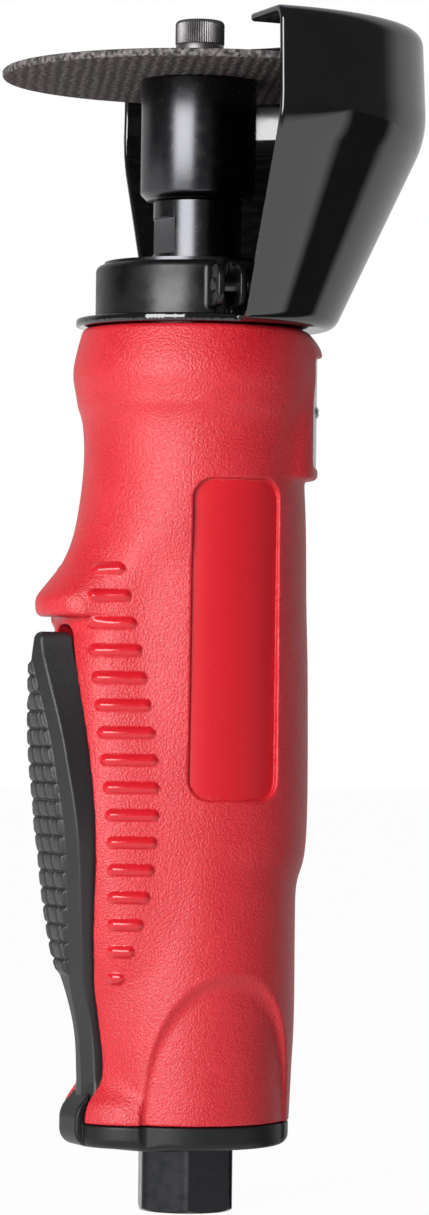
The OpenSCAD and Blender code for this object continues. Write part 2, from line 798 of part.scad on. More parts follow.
module throttle_lever() {
    color("#19191b")
    difference() {
        union() {
            intersection() {
                lever_front(lever_leaf, -lip_u - 6, -pin_u + 6);
                lever_side(concat(lever_outer, reversed(lever_inner)), 2 * paddle_w);
            }
            translate([-pin_u, 0, z_pin])
            rotate([90, 0, 0])
            cylinder(r = foot_eye_r, h = arm_w, center = true);
        }
        translate([-pin_u, 0, z_pin])
        rotate([90, 0, 0])
        cylinder(r = pin_d / 2 + run_gap, h = arm_w + 2 * over, center = true);
    }
}

module valve_bushing() {
    color("#b9974e")
    difference() {
        along_x(valve_r, -floor_low_u, valve_seat_x, z_valve);
        along_x(valve_rod_r + run_gap, -floor_low_u - over, valve_seat_x, z_valve);
        along_x(valve_head_r - 0.8, valve_guide_x, valve_seat_x + over, z_valve);
        translate([delivery_x, 0, z_valve]) cylinder(r = delivery_r, h = valve_r + over);
    }
}

module valve_stem() {
    color("#a9abad")
    union() {
        along_x(valve_rod_r, valve_tip_x + valve_rod_r / 2, valve_head_x + over, z_valve);
        along_x(valve_head_r, valve_head_x, valve_head_x + valve_head_t, z_valve);
        along_x(valve_rod_r - 0.6, valve_tip_x, valve_tip_x + valve_rod_r, z_valve);
    }
}

module valve_seal() {
    color("#222222")
    difference() {
        along_x(valve_head_r, valve_head_x - valve_seal_t, valve_head_x, z_valve);
        along_x(valve_rod_r + seat_gap, valve_head_x - 2 * valve_seal_t, valve_head_x + over, z_valve);
    }
}

// Round wire wound about the X axis
module valve_spring() {
    sides = 8;
    steps = 16 * spring_turns;
    wire_r = spring_wire_d / 2;
    coil_r = valve_head_r - 0.3 - wire_r;
    travel = spring_len - spring_wire_d;
    points = [for (i = [0 : steps], j = [0 : sides - 1])
        let (turn = 360 * spring_turns * i / steps, a = 360 * j / sides)
        let (r = coil_r + wire_r * cos(a))
        [spring_x + wire_r + travel * i / steps + wire_r * sin(a), r * cos(turn), z_valve + r * sin(turn)]
    ];
    walls = [for (i = [0 : steps - 1], j = [0 : sides - 1])
        let (k = (j + 1) % sides)
        [i * sides + j, i * sides + k, (i + 1) * sides + k, (i + 1) * sides + j]
    ];
    first = [for (j = [sides - 1 : -1 : 0]) j];
    last = [for (j = [0 : sides - 1]) steps * sides + j];
    color("#9a9da0") polyhedron(points, concat(walls, [first, last]));
}

// Ball bearing pieces: the bore, outer radius, width and lower face of one bearing
function pitch_r(bore_r, out_r) = (bore_r + out_r) / 2;
function ball_r(bore_r, out_r) = (out_r - bore_r) * 0.26;

module outer_race(bore_r, out_r, w, z0) {
    p = pitch_r(bore_r, out_r);
    b = ball_r(bore_r, out_r);
    color("#c4c6c8")
    difference() {
        ring(out_r, p + 0.6 * b, z0, w);
        translate([0, 0, z0 + w / 2]) rotate_extrude() translate([p, 0]) circle(r = b + run_gap);
    }
}

module inner_race(bore_r, out_r, w, z0) {
    p = pitch_r(bore_r, out_r);
    b = ball_r(bore_r, out_r);
    color("#c4c6c8")
    difference() {
        ring(p - 0.6 * b, bore_r, z0, w);
        translate([0, 0, z0 + w / 2]) rotate_extrude() translate([p, 0]) circle(r = b + run_gap);
    }
}

module balls(bore_r, out_r, w, z0, count) {
    color("#dfe1e2")
    for (i = [0 : count - 1])
        rotate([0, 0, 360 * i / count])
        translate([pitch_r(bore_r, out_r), 0, z0 + w / 2])
        sphere(r = ball_r(bore_r, out_r));
}

module cage(bore_r, out_r, w, z0, count) {
    p = pitch_r(bore_r, out_r);
    b = ball_r(bore_r, out_r);
    color("#8f6f3a")
    difference() {
        ring(p + 0.4 * b, p - 0.4 * b, z0 + w / 2 - 1.25 * b, 2.5 * b);
        for (i = [0 : count - 1])
            rotate([0, 0, 360 * i / count])
            translate([p, 0, z0 + w / 2])
            sphere(r = b + 2 * run_gap);
    }
}

front_r = front_od / 2;
front_bore_r = front_bore_d / 2;
rear_r = rear_od / 2;
rear_bore_r = rear_bore_d / 2;
front_ball_count = 8;
rear_ball_count = 7;
dowel_u = (stack_r + rotor_r + free_gap) / 2;

module dowel_hole() {
    translate([0, -dowel_u, z_cyl0 - end_plate_t])
    cylinder(r = dowel_d / 2 + seat_gap, h = cylinder_len + 2 * end_plate_t);
}

module rear_end_plate() {
    color("#a3a5a8")
    difference() {
        translate([0, 0, z_rear_plate0]) cylinder(r = stack_r, h = rear_cup_h + end_plate_t);
        translate([0, 0, z_rear_plate0 - over]) cylinder(r = rear_r + seat_gap, h = rear_cup_h + over);
        translate([0, 0, z_rear_plate0]) cylinder(r = rear_bore_r + 1, h = rear_cup_h + end_plate_t + over);
        translate([-dowel_u, 0, z_rear_plate0 - over]) cylinder(r = 1.8, h = rear_cup_h + end_plate_t + 2 * over);
        dowel_hole();
    }
}

module cylinder_liner() {
    port_r = 1.8;
    ports = 5;
    port_pitch = (cylinder_len - 10) / (ports - 1);
    color("#94979a")
    difference() {
        translate([0, 0, z_cyl0]) cylinder(r = stack_r, h = cylinder_len);
        translate([0, chamber_shift, z_cyl0 - over]) cylinder(r = chamber_r, h = cylinder_len + 2 * over);
        dowel_hole();
        for (i = [0 : ports - 1])
            translate([0, chamber_r, z_cyl0 + 5 + i * port_pitch])
            rotate([-90, 0, 0])
            cylinder(r = port_r, h = stack_r);
    }
}

module cylinder_dowel() {
    color("silver")
    translate([0, -dowel_u, z_cyl0 - end_plate_t])
    cylinder(d = dowel_d, h = cylinder_len + 2 * end_plate_t);
}

vane_count = 5;
slot_floor_r = rotor_r - vane_depth - 0.2;
rear_shaft_len = end_plate_t + rear_cup_h + 1.6;
clip_t = 1;
z_clip = z_rear_bearing - clip_t;

module rotor() {
    body_len = cylinder_len - 2 * free_gap;
    z_body = z_cyl0 + free_gap;
    color("#7d8083")
    difference() {
        union() {
            translate([0, 0, z_body]) cylinder(r = rotor_r, h = body_len);
            translate([0, 0, z_cyl0 - rear_shaft_len]) cylinder(r = rear_bore_r - run_gap, h = rear_shaft_len + over);
            translate([0, 0, z_body + body_len - over])
            cylinder(r = front_bore_r - run_gap, h = z_front_bearing + front_w - z_cyl1 + over);
            translate([0, 0, z_front_bearing]) cylinder(r = shaft_tip_r - seat_gap, h = front_w + shaft_tip_len);
        }
        for (i = [0 : vane_count - 1])
            rotate([0, 0, 360 * i / vane_count])
            translate([slot_floor_r, -vane_t / 2 - seat_gap, z_body - over])
            cube([rotor_r, vane_t + 2 * seat_gap, body_len + 2 * over]);
        ring(rear_bore_r + over, rear_bore_r - 0.7, z_clip - seat_gap, clip_t + 2 * seat_gap);
    }
}

module vane(number) {
    color("#6b4a32")
    rotate([0, 0, 360 * (number - 1) / vane_count])
    translate([slot_floor_r + 0.1, -vane_t / 2, z_cyl0 + free_gap])
    cube([vane_depth, vane_t, cylinder_len - 2 * free_gap]);
}

module rotor_clip() {
    color("#2b2b2d")
    difference() {
        ring(rear_bore_r + 1.4, rear_bore_r - 0.6, z_clip, clip_t);
        translate([0, -1, z_clip - over]) cube([rear_r, 2, clip_t + 2 * over]);
    }
}

module front_end_plate() {
    color("#a3a5a8")
    difference() {
        translate([0, 0, z_front_plate]) cylinder(r = stack_r, h = end_plate_t + front_cup_h);
        translate([0, 0, z_front_plate + end_plate_t]) cylinder(r = front_r + seat_gap, h = front_cup_h + over);
        translate([0, 0, z_front_plate - over]) cylinder(r = front_bore_r + 1, h = end_plate_t + 2 * over);
        dowel_hole();
    }
}

// Nut that closes the motor bore and carries the guard on its nose
module nose_nut() {
    z_top = z_collar1 + 0.6;
    nut_bore_r = neck_r + free_gap;
    color("#3a3b3d")
    difference() {
        union() {
            translate([0, 0, z_nut0]) cylinder(r = nose_thread_r, h = nut_thread_len);
            translate([0, 0, z_grip1]) cylinder(d = nose_d, h = z_top - z_grip1);
        }
        translate([0, 0, z_nut0 - over]) cylinder(r = nut_bore_r, h = z_top);
        for (a = [0 : 90 : 270])
            rotate([0, 0, a + 45])
            translate([(nut_bore_r + nose_d / 2) / 2, 0, z_top - 4])
            cylinder(d = 3, h = 4 + over);
    }
}

module spindle() {
    z_foot = z_front_bearing + front_w;
    foot_h = z_nut0 - z_foot + 2;
    flat_top = z_arbor0 - 3.5;
    color("#2f3032")
    difference() {
        union() {
            translate([0, 0, z_foot]) cylinder(r = neck_foot_r, h = foot_h);
            translate([0, 0, z_foot + foot_h]) cylinder(r = neck_r, h = z_arbor0 - z_foot - foot_h);
            translate([0, 0, z_arbor0 - over]) cylinder(r = stud_r, h = stud_len + over);
        }
        translate([0, 0, z_foot - over]) cylinder(r = shaft_tip_r, h = shaft_tip_len + 1.2 * over);
        for (side = [-1, 1])
            translate([side * (neck_af / 2 + neck_r), 0, flat_top - neck_flat_h / 2])
            cube([2 * neck_r, 2 * neck_d, neck_flat_h], center = true);
    }
}

module wheel_arbor() {
    color("#2a2b2d")
    difference() {
        union() {
            rotate_extrude()
            polygon([
                [0, z_arbor0], [arbor_r - arbor_chamfer, z_arbor0], [arbor_r, z_arbor0 + arbor_chamfer],
                [arbor_r, z_disc0 - 0.3], [arbor_r - 0.3, z_disc0], [0, z_disc0]
            ]);
            translate([0, 0, z_disc0 - over]) cylinder(r = pilot_r, h = pilot_h + over);
        }
        translate([0, 0, z_arbor0 - over]) cylinder(r = stud_r + seat_gap, h = stud_len + over + 0.2);
        translate([0, 0, z_lock1 - screw_len - 5]) cylinder(r = screw_r + seat_gap, h = screw_len + 5);
    }
}

module cutting_disc() {
    color("#4a4440") ring(disc_d / 2, disc_bore_d / 2, z_disc0, disc_t);
}

module outer_flange() {
    color("#3c3d40") ring(flange_d / 2, washer_bore_r, z_disc1, flange_t);
}

module lock_washer() {
    color("#55575a")
    difference() {
        ring(lock_r, washer_bore_r, z_flange1, lock_t);
        translate([0, -lock_split / 2, z_flange1 - over]) cube([2 * lock_r, lock_split, lock_t + 2 * over]);
    }
}

module disc_screw() {
    head_r = screw_head_d / 2;
    socket_h = screw_head_h * 0.5;
    color("#2c2d2f")
    difference() {
        union() {
            rotate_extrude()
            polygon([[0, z_lock1], [head_r, z_lock1], [head_r, z_head1 - 0.6], [head_r - 0.6, z_head1], [0, z_head1]]);
            translate([0, 0, z_lock1 - screw_len]) cylinder(r = screw_r, h = screw_len + over);
        }
        translate([0, 0, z_head1 - socket_h]) cylinder(d = socket_af / cos(30), h = socket_h + over, $fn = 6);
    }
}

// Pressed sheet hood over half of the disc, with its base ring under the clamp collar
module guard_hood() {
    lean = atan((guard_r - skirt_r) / (z_drum0 - z_guard0));
    inset = sheet_t / cos(lean);
    bend = 2.6;
    z_in = z_guard0 + sheet_t;
    color("#0d0d0e")
    rotate([0, 0, guard_turn - guard_span / 2]) {
        ring(base_ring_r, collar_in_r, z_guard0, sheet_t);
        rotate_extrude(angle = guard_span)
        polygon(concat(
            [[collar_in_r + over, z_guard0], [skirt_r, z_guard0], [guard_r, z_drum0]],
            arc(guard_r - bend, z_hood1 - bend, bend, 0, 90, 6),
            [[guard_mouth_r, z_hood1], [guard_mouth_r, z_hood1 - sheet_t]],
            reversed(arc(guard_r - bend, z_hood1 - bend, bend - sheet_t, 0, 90, 4)),
            [[guard_r - sheet_t, z_drum0], [skirt_r + tan(lean) * sheet_t - inset, z_in]],
            [[collar_in_r + over, z_in]]
        ));
    }
}

module guard_collar() {
    round_r = 1.4;
    color("#101011")
    difference() {
        union() {
            rotate_extrude()
            polygon(concat(
                [[collar_in_r, z_collar0], [collar_r, z_collar0]],
                arc(collar_r - round_r, z_collar1 - round_r, round_r, 0, 90, 5),
                [[collar_in_r, z_collar1]]
            ));
            rotate([0, 0, split_a])
            for (side = [-1, 1])
                translate([collar_in_r + 0.6, side * (split_w + sheet_t) / 2, z_clamp])
                translate([(lug_u - collar_in_r - 0.6) / 2, 0, 0])
                cube([lug_u - collar_in_r - 0.6, sheet_t, lug_h], center = true);
        }
        rotate([0, 0, split_a])
        translate([collar_in_r - over, -split_w / 2, z_collar0 - over])
        cube([lug_u, split_w, collar_h + 2 * over]);
        rotate([0, 0, split_a])
        translate([clamp_u, 0, z_clamp])
        rotate([90, 0, 0])
        cylinder(r = clamp_d / 2 + seat_gap, h = 4 * split_w, center = true);
    }
}

module clamp_screw() {
    near = -split_w / 2 - sheet_t;
    far = split_w / 2 + sheet_t;
    color("#48494c")
    rotate([0, 0, split_a])
    translate([clamp_u, 0, z_clamp])
    rotate([-90, 0, 0]) {
        difference() {
            translate([0, 0, far]) cylinder(r = clamp_head_r, h = clamp_head_h);
            translate([0, 0, far + clamp_head_h / 2]) cylinder(d = clamp_d, h = clamp_head_h, $fn = 6);
        }
        translate([0, 0, near]) cylinder(d = clamp_d, h = far - near + clamp_head_h / 4);
    }
}

grip();
end_cap();
inlet_bushing();
inlet_screen();
inlet_seal();
muffler_pad(-1);  // muffler_pad_near
muffler_pad(1);  // muffler_pad_far
side_plate();
side_plate_screw(-1);  // side_plate_screw_near
side_plate_screw(1);  // side_plate_screw_far
lever_pin();
throttle_lever();
valve_bushing();
valve_stem();
valve_seal();
valve_spring();
rear_end_plate();
outer_race(rear_bore_r, rear_r, rear_w, z_rear_bearing);  // rear_outer_race
inner_race(rear_bore_r, rear_r, rear_w, z_rear_bearing);  // rear_inner_race
balls(rear_bore_r, rear_r, rear_w, z_rear_bearing, rear_ball_count);  // rear_balls
cage(rear_bore_r, rear_r, rear_w, z_rear_bearing, rear_ball_count);  // rear_cage
cylinder_liner();  // cylinder
cylinder_dowel();
rotor();
vane(1);  // vane_1
vane(2);  // vane_2
vane(3);  // vane_3
vane(4);  // vane_4
vane(5);  // vane_5
rotor_clip();
front_end_plate();
outer_race(front_bore_r, front_r, front_w, z_front_bearing);  // front_outer_race
inner_race(front_bore_r, front_r, front_w, z_front_bearing);  // front_inner_race
balls(front_bore_r, front_r, front_w, z_front_bearing, front_ball_count);  // front_balls
cage(front_bore_r, front_r, front_w, z_front_bearing, front_ball_count);  // front_cage
nose_nut();
spindle();
wheel_arbor();
cutting_disc();
outer_flange();
lock_washer();
disc_screw();
guard_hood();
guard_collar();
clamp_screw();
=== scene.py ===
"""Looks of an in-line air cut-off tool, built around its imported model.

Sizes are in millimetres until a mesh is made. The frame is the model's own: Z runs along the
spindle, z 0 is the end face of the air inlet, and the throttle lever is on the -X side.
"""
import itertools
import json
import math

import bpy
import numpy as np
from mathutils import Matrix, Vector


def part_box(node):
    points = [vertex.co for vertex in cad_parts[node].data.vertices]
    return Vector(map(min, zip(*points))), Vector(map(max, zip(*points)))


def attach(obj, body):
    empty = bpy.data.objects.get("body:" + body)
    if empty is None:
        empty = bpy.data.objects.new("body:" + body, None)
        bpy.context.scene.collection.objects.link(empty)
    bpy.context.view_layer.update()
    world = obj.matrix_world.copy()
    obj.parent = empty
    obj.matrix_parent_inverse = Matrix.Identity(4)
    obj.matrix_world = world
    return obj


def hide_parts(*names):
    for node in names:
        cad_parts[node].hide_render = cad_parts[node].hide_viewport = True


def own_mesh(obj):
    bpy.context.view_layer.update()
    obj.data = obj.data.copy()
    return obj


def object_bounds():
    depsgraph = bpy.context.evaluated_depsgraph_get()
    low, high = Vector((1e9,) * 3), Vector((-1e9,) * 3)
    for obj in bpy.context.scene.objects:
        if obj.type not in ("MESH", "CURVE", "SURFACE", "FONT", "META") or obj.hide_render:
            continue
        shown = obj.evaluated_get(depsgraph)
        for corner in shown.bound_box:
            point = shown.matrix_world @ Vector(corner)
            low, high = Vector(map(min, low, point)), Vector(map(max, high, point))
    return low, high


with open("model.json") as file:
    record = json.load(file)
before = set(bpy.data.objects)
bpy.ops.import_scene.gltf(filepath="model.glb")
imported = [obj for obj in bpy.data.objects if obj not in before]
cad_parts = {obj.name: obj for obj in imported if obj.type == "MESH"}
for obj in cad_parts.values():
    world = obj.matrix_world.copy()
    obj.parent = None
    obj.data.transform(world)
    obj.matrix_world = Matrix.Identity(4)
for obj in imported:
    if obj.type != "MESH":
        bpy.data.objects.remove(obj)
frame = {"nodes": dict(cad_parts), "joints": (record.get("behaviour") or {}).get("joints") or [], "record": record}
cad_low, cad_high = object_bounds()
rng = np.random.default_rng(7)

# Millimetres in a metre
MM = 1000.0


def span(node):
    """Lowest and highest corner of a node, in millimetres."""
    low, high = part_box(node)
    return np.array(low) * MM, np.array(high) * MM


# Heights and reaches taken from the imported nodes
GRIP_LOW, GRIP_HIGH = span("grip")
Z_GRIP0, Z_GRIP1 = GRIP_LOW[2], GRIP_HIGH[2]
LIP_U = -GRIP_LOW[0]
NOSE_R = GRIP_HIGH[1]
BOSS_R = GRIP_HIGH[0]
PIN = np.array(next(j["pos_m"] for j in frame["joints"] if j["name"] == "lever_press")) * MM
Z_PIN, PIN_U = PIN[2], -PIN[0]
LEVER_LOW, LEVER_HIGH = span("throttle_lever")
Z_LEVER1 = LEVER_HIGH[2]
LEVER_H = Z_LEVER1 - Z_PIN
CAP_LOW, CAP_HIGH = span("end_cap")
Z_CAP0, EAR_U = CAP_LOW[2], -CAP_LOW[0]
PLATE_LOW, PLATE_HIGH = span("side_plate")
PLATE_R = PLATE_HIGH[0]
Z_PLATE = (PLATE_LOW[2] + PLATE_HIGH[2]) / 2
PLATE_H = PLATE_HIGH[2] - PLATE_LOW[2]
PLATE_HALF_A = math.asin(PLATE_HIGH[1] / PLATE_R)
Z_NUT0 = span("nose_nut")[0][2]
MOTOR_ROOM = 2.0
Z_MOTOR0 = span("rear_end_plate")[0][2] - MOTOR_ROOM
VALVE_LOW, VALVE_HIGH = span("valve_bushing")
Z_VALVE = (VALVE_LOW[2] + VALVE_HIGH[2]) / 2

# Grip: round body, palm swell, lever side and the recesses, as in the part's own sizes
FOOT_R = 19.8
HANDLE_R = 20.6
BARREL_R = 21.3
NOSE_EDGE_R = 21.8
SWELL_SHIFT = 2.1
SWELL_R = 20.6
RAIL_TOP_U = 27.5
RAIL_MID_U = 24.0
RAIL_LOW_U = 19.8
FLARE_U = 23.8
FLANK_ROOT = (8.0, 19.0)
FLANK_TIP = (RAIL_TOP_U + 3.9, 9.6)
RAIL_SHIFT = 10.0
STOP_CROWN = 0.041
LIP_GAP = 2.9
Z_LIP = Z_LEVER1 + LIP_GAP
ARCH_HALF_W = 14.4
ARCH_TOP = 26.2
ARCH_POWER = 2.3
ARCH_SLOPE = 0.95
ARCH_RIM = 1.0
ARCH_DEPTH = 0.5
ARCH_R = FOOT_R - ARCH_DEPTH
PANEL_HALF = (9.0, 30.5)
PANEL_ROUND = 4.0
PANEL_DEPTH = 0.9
PANEL_R = BARREL_R - PANEL_DEPTH
Z_PANEL = Z_GRIP1 - 59.8
WELL_GAP = 0.6
FLOOR_LOW_U = 15.2
FLOOR_TOP_U = 18.3
Z_FLOOR_STEP = Z_GRIP1 - 80.2
FOOT_EYE_R = 3.8
PLATE_T = 0.7
PLATE_ROUND = 2.0
SEAT_GAP = 0.1
BOSS_BORDER = 2.2
BOSS_HALF_W = PLATE_HIGH[1] + 1.7
BOSS_LEAN = math.radians(12)
NOSE_SLOPE = math.radians(39)
NOSE_SLOPE_R = 23.5
NOSE_SLOPE_SHIFT = 2.2

# Ribs on both flanks, counted from the top one down
RIB_COUNT = 16
RIB_PITCH = 5.18
RIB_TOP_Z = Z_LIP + 9.2
RIB_R = 1.3
RIB_H = 0.8
RIB_POWER = 1.3
RIB_GLOSS_H = 0.06

# Lever pad of small squares
PAD_ROW = 3.37
PAD_COLUMN = 4.0
PAD_H = 0.75
PAD_START = 23.3
PAD_ROWS = 18
PAD_INSET = 2.8
BEVEL_W = 3.2
BEVEL_SLOPE = 0.42

# Lever: its tapered tip, the edge of its face and the bore for its pin
TIP_TAPER = 1.9
TIP_START = 66
TIP_LENGTH = 20
EDGE_DROP = 0.5
SIDE_DEPTH = 6.0
FACE_CROWN = 0.004
PIN_BORE_R = 1.55

# End cap: steps and gap against the grip, the ear outside the lever's foot, and the exhaust holes
CAP_STEP = 0.1
FLARE_STEP = 0.2
CAP_GAP = 0.15
EAR_HALF_W = 4.25
EAR_RISE = 2.4
EAR_SLOPE = (2.6, 2.4)
EAR_ROOT_U = FOOT_R - 4
CAP_BORE_R = 7.6
EXHAUST_HOLES = 5
EXHAUST_PITCH = math.radians(18.4)
EXHAUST_R = 13.35
EXHAUST_HOLE_R = 1.5


def curve(points, base=(0, 0), samples=40):
    """A function of height that follows a smooth curve through (value, height) points, from a base."""
    spots = np.array(points, float) + base
    ends = np.vstack([spots[:1], spots, spots[-1:]])
    t = np.linspace(0, 1, samples, endpoint=False)[:, None]
    rows = []
    for a, b, c, d in zip(ends, ends[1:], ends[2:], ends[3:]):
        cubic = (2 * a - 5 * b + 4 * c - d) * t**2 + (3 * b - a - 3 * c + d) * t**3
        rows.append(0.5 * (2 * b + (c - a) * t + cubic))
    line = np.vstack(rows + [spots[-1:]])
    return lambda z: np.interp(z, line[:, 1], line[:, 0])


# Fields: below zero inside a solid, and about the distance to its surface near it
def round_and(a, b, r):
    """What two solids share, with the edge between them rounded."""
    return np.minimum(np.maximum(a, b), -r) + np.hypot(np.maximum(a + r, 0), np.maximum(b + r, 0))


def round_or(a, b, r):
    """Two solids joined, with the corner between them filled."""
    return np.maximum(np.minimum(a, b), r) - np.hypot(np.maximum(r - a, 0), np.maximum(r - b, 0))


def round_cut(a, b, r):
    """The first solid less the second, with a rounded rim."""
    return round_and(a, -b, r)


def blend(a, b, k):
    """Rise of a soft join, which reaches as far as two fields differ by less than k."""
    return 0.25 * k * np.clip(1 - np.abs(a - b) / k, 0, 1) ** 2


def soft_and(a, b, k):
    """What two solids share, for faces that meet at a low angle."""
    return np.maximum(a, b) + blend(a, b, k)


def soft_or(a, b, k):
    """Two solids joined, for faces that meet at a low angle."""
    return np.minimum(a, b) - blend(a, b, k)


def rounded_box(a, b, half_a, half_b, r):
    """Distance to a rectangle with round corners, in the plane of a and b."""
    da = np.abs(a) - half_a + r
    db = np.abs(b) - half_b + r
    return np.hypot(np.maximum(da, 0), np.maximum(db, 0)) + np.minimum(np.maximum(da, db), 0) - r


def step_up(t):
    """Smooth rise from 0 to 1 as t goes from 0 to 1."""
    t = np.clip(t, 0, 1)
    return t * t * (3 - 2 * t)


FLANK_A = math.atan2(FLANK_ROOT[1] - FLANK_TIP[1], FLANK_TIP[0] - FLANK_ROOT[0])


def flank_line(u, w):
    """Distance outside the straight flank that closes in towards the lever."""
    return (u - FLANK_ROOT[0]) * math.sin(FLANK_A) + (w - FLANK_ROOT[1]) * math.cos(FLANK_A)


def flank_place(u, w):
    """Distance along the flank towards the lever."""
    return u * math.cos(FLANK_A) - w * math.sin(FLANK_A)


# Outlines by height: reaches from the spindle's axis, and the half width of the lever's leaf
body_line = curve([
    (FOOT_R, Z_GRIP0), ((FOOT_R + HANDLE_R) / 2, Z_GRIP0 + 10), (HANDLE_R, Z_GRIP0 + 21),
    (HANDLE_R, Z_GRIP0 + 46), (BARREL_R, Z_GRIP1 - 63), (BARREL_R, Z_GRIP1 - 24),
    (NOSE_R - 0.8, Z_GRIP1 - 14.4), (NOSE_R, Z_GRIP1 - 8), (NOSE_EDGE_R, Z_GRIP1),
])
swell_line = curve([
    (SWELL_R - 6, Z_GRIP0 + 30), (SWELL_R - 2.4, Z_GRIP0 + 44), (SWELL_R, Z_GRIP0 + 54),
    (SWELL_R, Z_GRIP0 + 82), (SWELL_R - 0.5, Z_GRIP1 - 53), (SWELL_R - 1.2, Z_GRIP1 - 33),
    (SWELL_R - 4, Z_GRIP1 - 20),
])
rail_line = curve([
    (FLARE_U, Z_GRIP0), (FLARE_U - 0.6, Z_GRIP0 + 3.6), (RAIL_LOW_U, Z_GRIP0 + 10),
    (RAIL_LOW_U + 1.4, Z_GRIP0 + 20), (RAIL_MID_U - 0.3, Z_GRIP0 + 34),
    (RAIL_MID_U + 0.6, Z_GRIP0 + 52), (RAIL_TOP_U - 1.9, Z_LIP - 26), (RAIL_TOP_U - 0.4, Z_LIP - 10),
    (RAIL_TOP_U - 0.8, Z_LIP),
])
lip_line = curve([
    (-0.5, 0), (0, 1.8), (-0.3, 3.9), (-2.4, 6.5), (-4.8, 9.4), (-6.5, 12.3), (-10.9, 22),
], (LIP_U, Z_LIP))
leaf_line = curve([
    (4.4, -FOOT_EYE_R), (4.4, 0), (4.4, 19), (7.05, 29), (9.7, 50), (8.3, 66), (5.9, 80),
    (3.7, LEVER_H - 1.5), (3.5, LEVER_H + 4),
], (0, Z_PIN))
lever_outer = curve([
    (21.8, -8), (21.8, 0), (21.9, 5), (22.7, 14), (26.1, 28.5), (28.6, 50), (31.15, 70),
    (32.9, LEVER_H - 5), (32.6, LEVER_H + 2),
], (0, Z_PIN))
lever_inner = curve([
    (PIN_U, -8), (PIN_U, 0), (17.0, 9), (17.5, 14), (20.9, 28.5), (22.2, 50), (24.75, 70),
    (26.5, LEVER_H - 5), (26.5, LEVER_H + 2),
], (0, Z_PIN))

# Where each rib ends along the flank, by the rib's number
rib_near = curve([(20.3, 0), (21.1, 2), (18.8, 6), (16.8, 10), (16.4, 15)])
rib_far = curve([(13.8, 0), (10.4, 3), (7.8, 6), (6.8, 8.5), (7.6, 11), (9.4, 13), (12.8, 15)])


def rail_round(z):
    """Radius of the lever side about its own axis, through the edges of the well."""
    return np.hypot(rail_line(z) - RAIL_SHIFT, leaf_line(z) + WELL_GAP)


stop_root = curve([
    (RAIL_SHIFT + rail_round(Z_LIP), 0), (26.4, 5), (24.4, 11), (22.9, 18), (21.3, 26), (19.4, 35),
    (16.5, 46),
], (0, Z_LIP))


def arch_field(x, r, z):
    """Arched recess on the sides, shared by the grip and the end cap."""
    foot_blend, rim_rise = 0.8, 0.5
    height = np.maximum(z - Z_GRIP0, 0) / ARCH_TOP
    reach = (np.abs(x / ARCH_HALF_W) ** ARCH_POWER + height**ARCH_POWER) ** (1 / ARCH_POWER)
    outline = (reach - 1) * ARCH_HALF_W
    ramp = np.maximum(outline, 0) + blend(outline, 0, foot_blend)
    ramp = ARCH_SLOPE * ramp + rim_rise * np.maximum(outline - ARCH_RIM, 0) ** 2
    return (ARCH_R - r + ramp) / math.hypot(1, ARCH_SLOPE)


def rib_height(u, w, z):
    """Raised pill ribs on the flanks."""
    number = np.clip(np.round((RIB_TOP_Z - z) / RIB_PITCH), 0, RIB_COUNT - 1)
    rib_z = RIB_TOP_Z - number * RIB_PITCH
    far_end = rib_far(number) + RIB_R
    near_end = rib_near(number) - RIB_R
    place = flank_place(u, w)
    along = np.maximum(np.maximum(far_end - place, place - near_end), 0)
    away = np.hypot(along, z - rib_z) / RIB_R
    return RIB_H * np.clip(1 - away**2, 0, 1) ** RIB_POWER


def flank_spread(z):
    """How far the flanks move out: they pinch in at the finger stop and open into the nose above it."""
    pinch_w, pinch_start, pinch_rise, pinch_fall = 1.0, -30, 24, 18
    open_w, open_start, open_rise = 3.0, 4, 28
    up = z - Z_LIP
    pinch = step_up((up - pinch_start) / pinch_rise) * (1 - step_up((up - open_start) / pinch_fall))
    return open_w * step_up((up - open_start) / open_rise) - pinch_w * pinch


def lever_side(u, w, z):
    """Rails beside the lever, which run up into the round nose behind the finger stop."""
    rise_h, rise_r, edge_blend = 14, 3.5, 2.0
    rise = step_up((z - Z_LIP) / rise_h)
    radius = rail_round(np.minimum(z, Z_LIP)) + rise_r * rise
    shift = np.where(z < Z_LIP, RAIL_SHIFT, stop_root(z) - radius)
    return soft_and(flank_line(u, w) - flank_spread(z), np.hypot(u - shift, w) - radius, edge_blend)


def finger_stop(u, w, z):
    """Visor above the lever: a crowned front between the flanks, softer towards its root."""
    cheek_inset, lip_round = 0.6, 0.9
    lip_blend, blend_growth, growth_h = 0.7, 0.3, 12
    front = (u - lip_line(z) + STOP_CROWN * w * w) / np.hypot(1, 2 * STOP_CROWN * w)
    cheek = flank_line(u, w) - flank_spread(z) + cheek_inset
    visor = soft_and(front, cheek, lip_blend + blend_growth * np.clip(z - Z_LIP, 0, growth_h))
    return np.maximum(round_and(visor, Z_LIP - z, lip_round), RAIL_SHIFT - u)


def plate_boss(x, y, r, z):
    """Pad on the +X side that carries the side plate."""
    side_round, end_round, root_x = 1.2, 1.0, 4
    edge_x = math.sqrt(BOSS_R**2 - BOSS_HALF_W**2)
    side = (np.abs(y) - BOSS_HALF_W + (x - edge_x) * math.tan(BOSS_LEAN)) * math.cos(BOSS_LEAN)
    face = round_and(r - BOSS_R, side, side_round)
    ends = np.abs(z - Z_PLATE) - PLATE_H / 2 - BOSS_BORDER
    return np.maximum(round_and(face, ends, end_round), root_x - x)


def nose_slope(x, y, z):
    """Cone set off towards the lever, which slopes the nose in above the side plate."""
    reach = np.hypot(x + NOSE_SLOPE_SHIFT, y) - NOSE_SLOPE_SHIFT - NOSE_SLOPE_R
    below = Z_PLATE + PLATE_H / 2 + BOSS_BORDER - z
    return reach * math.cos(NOSE_SLOPE) - below * math.sin(NOSE_SLOPE)


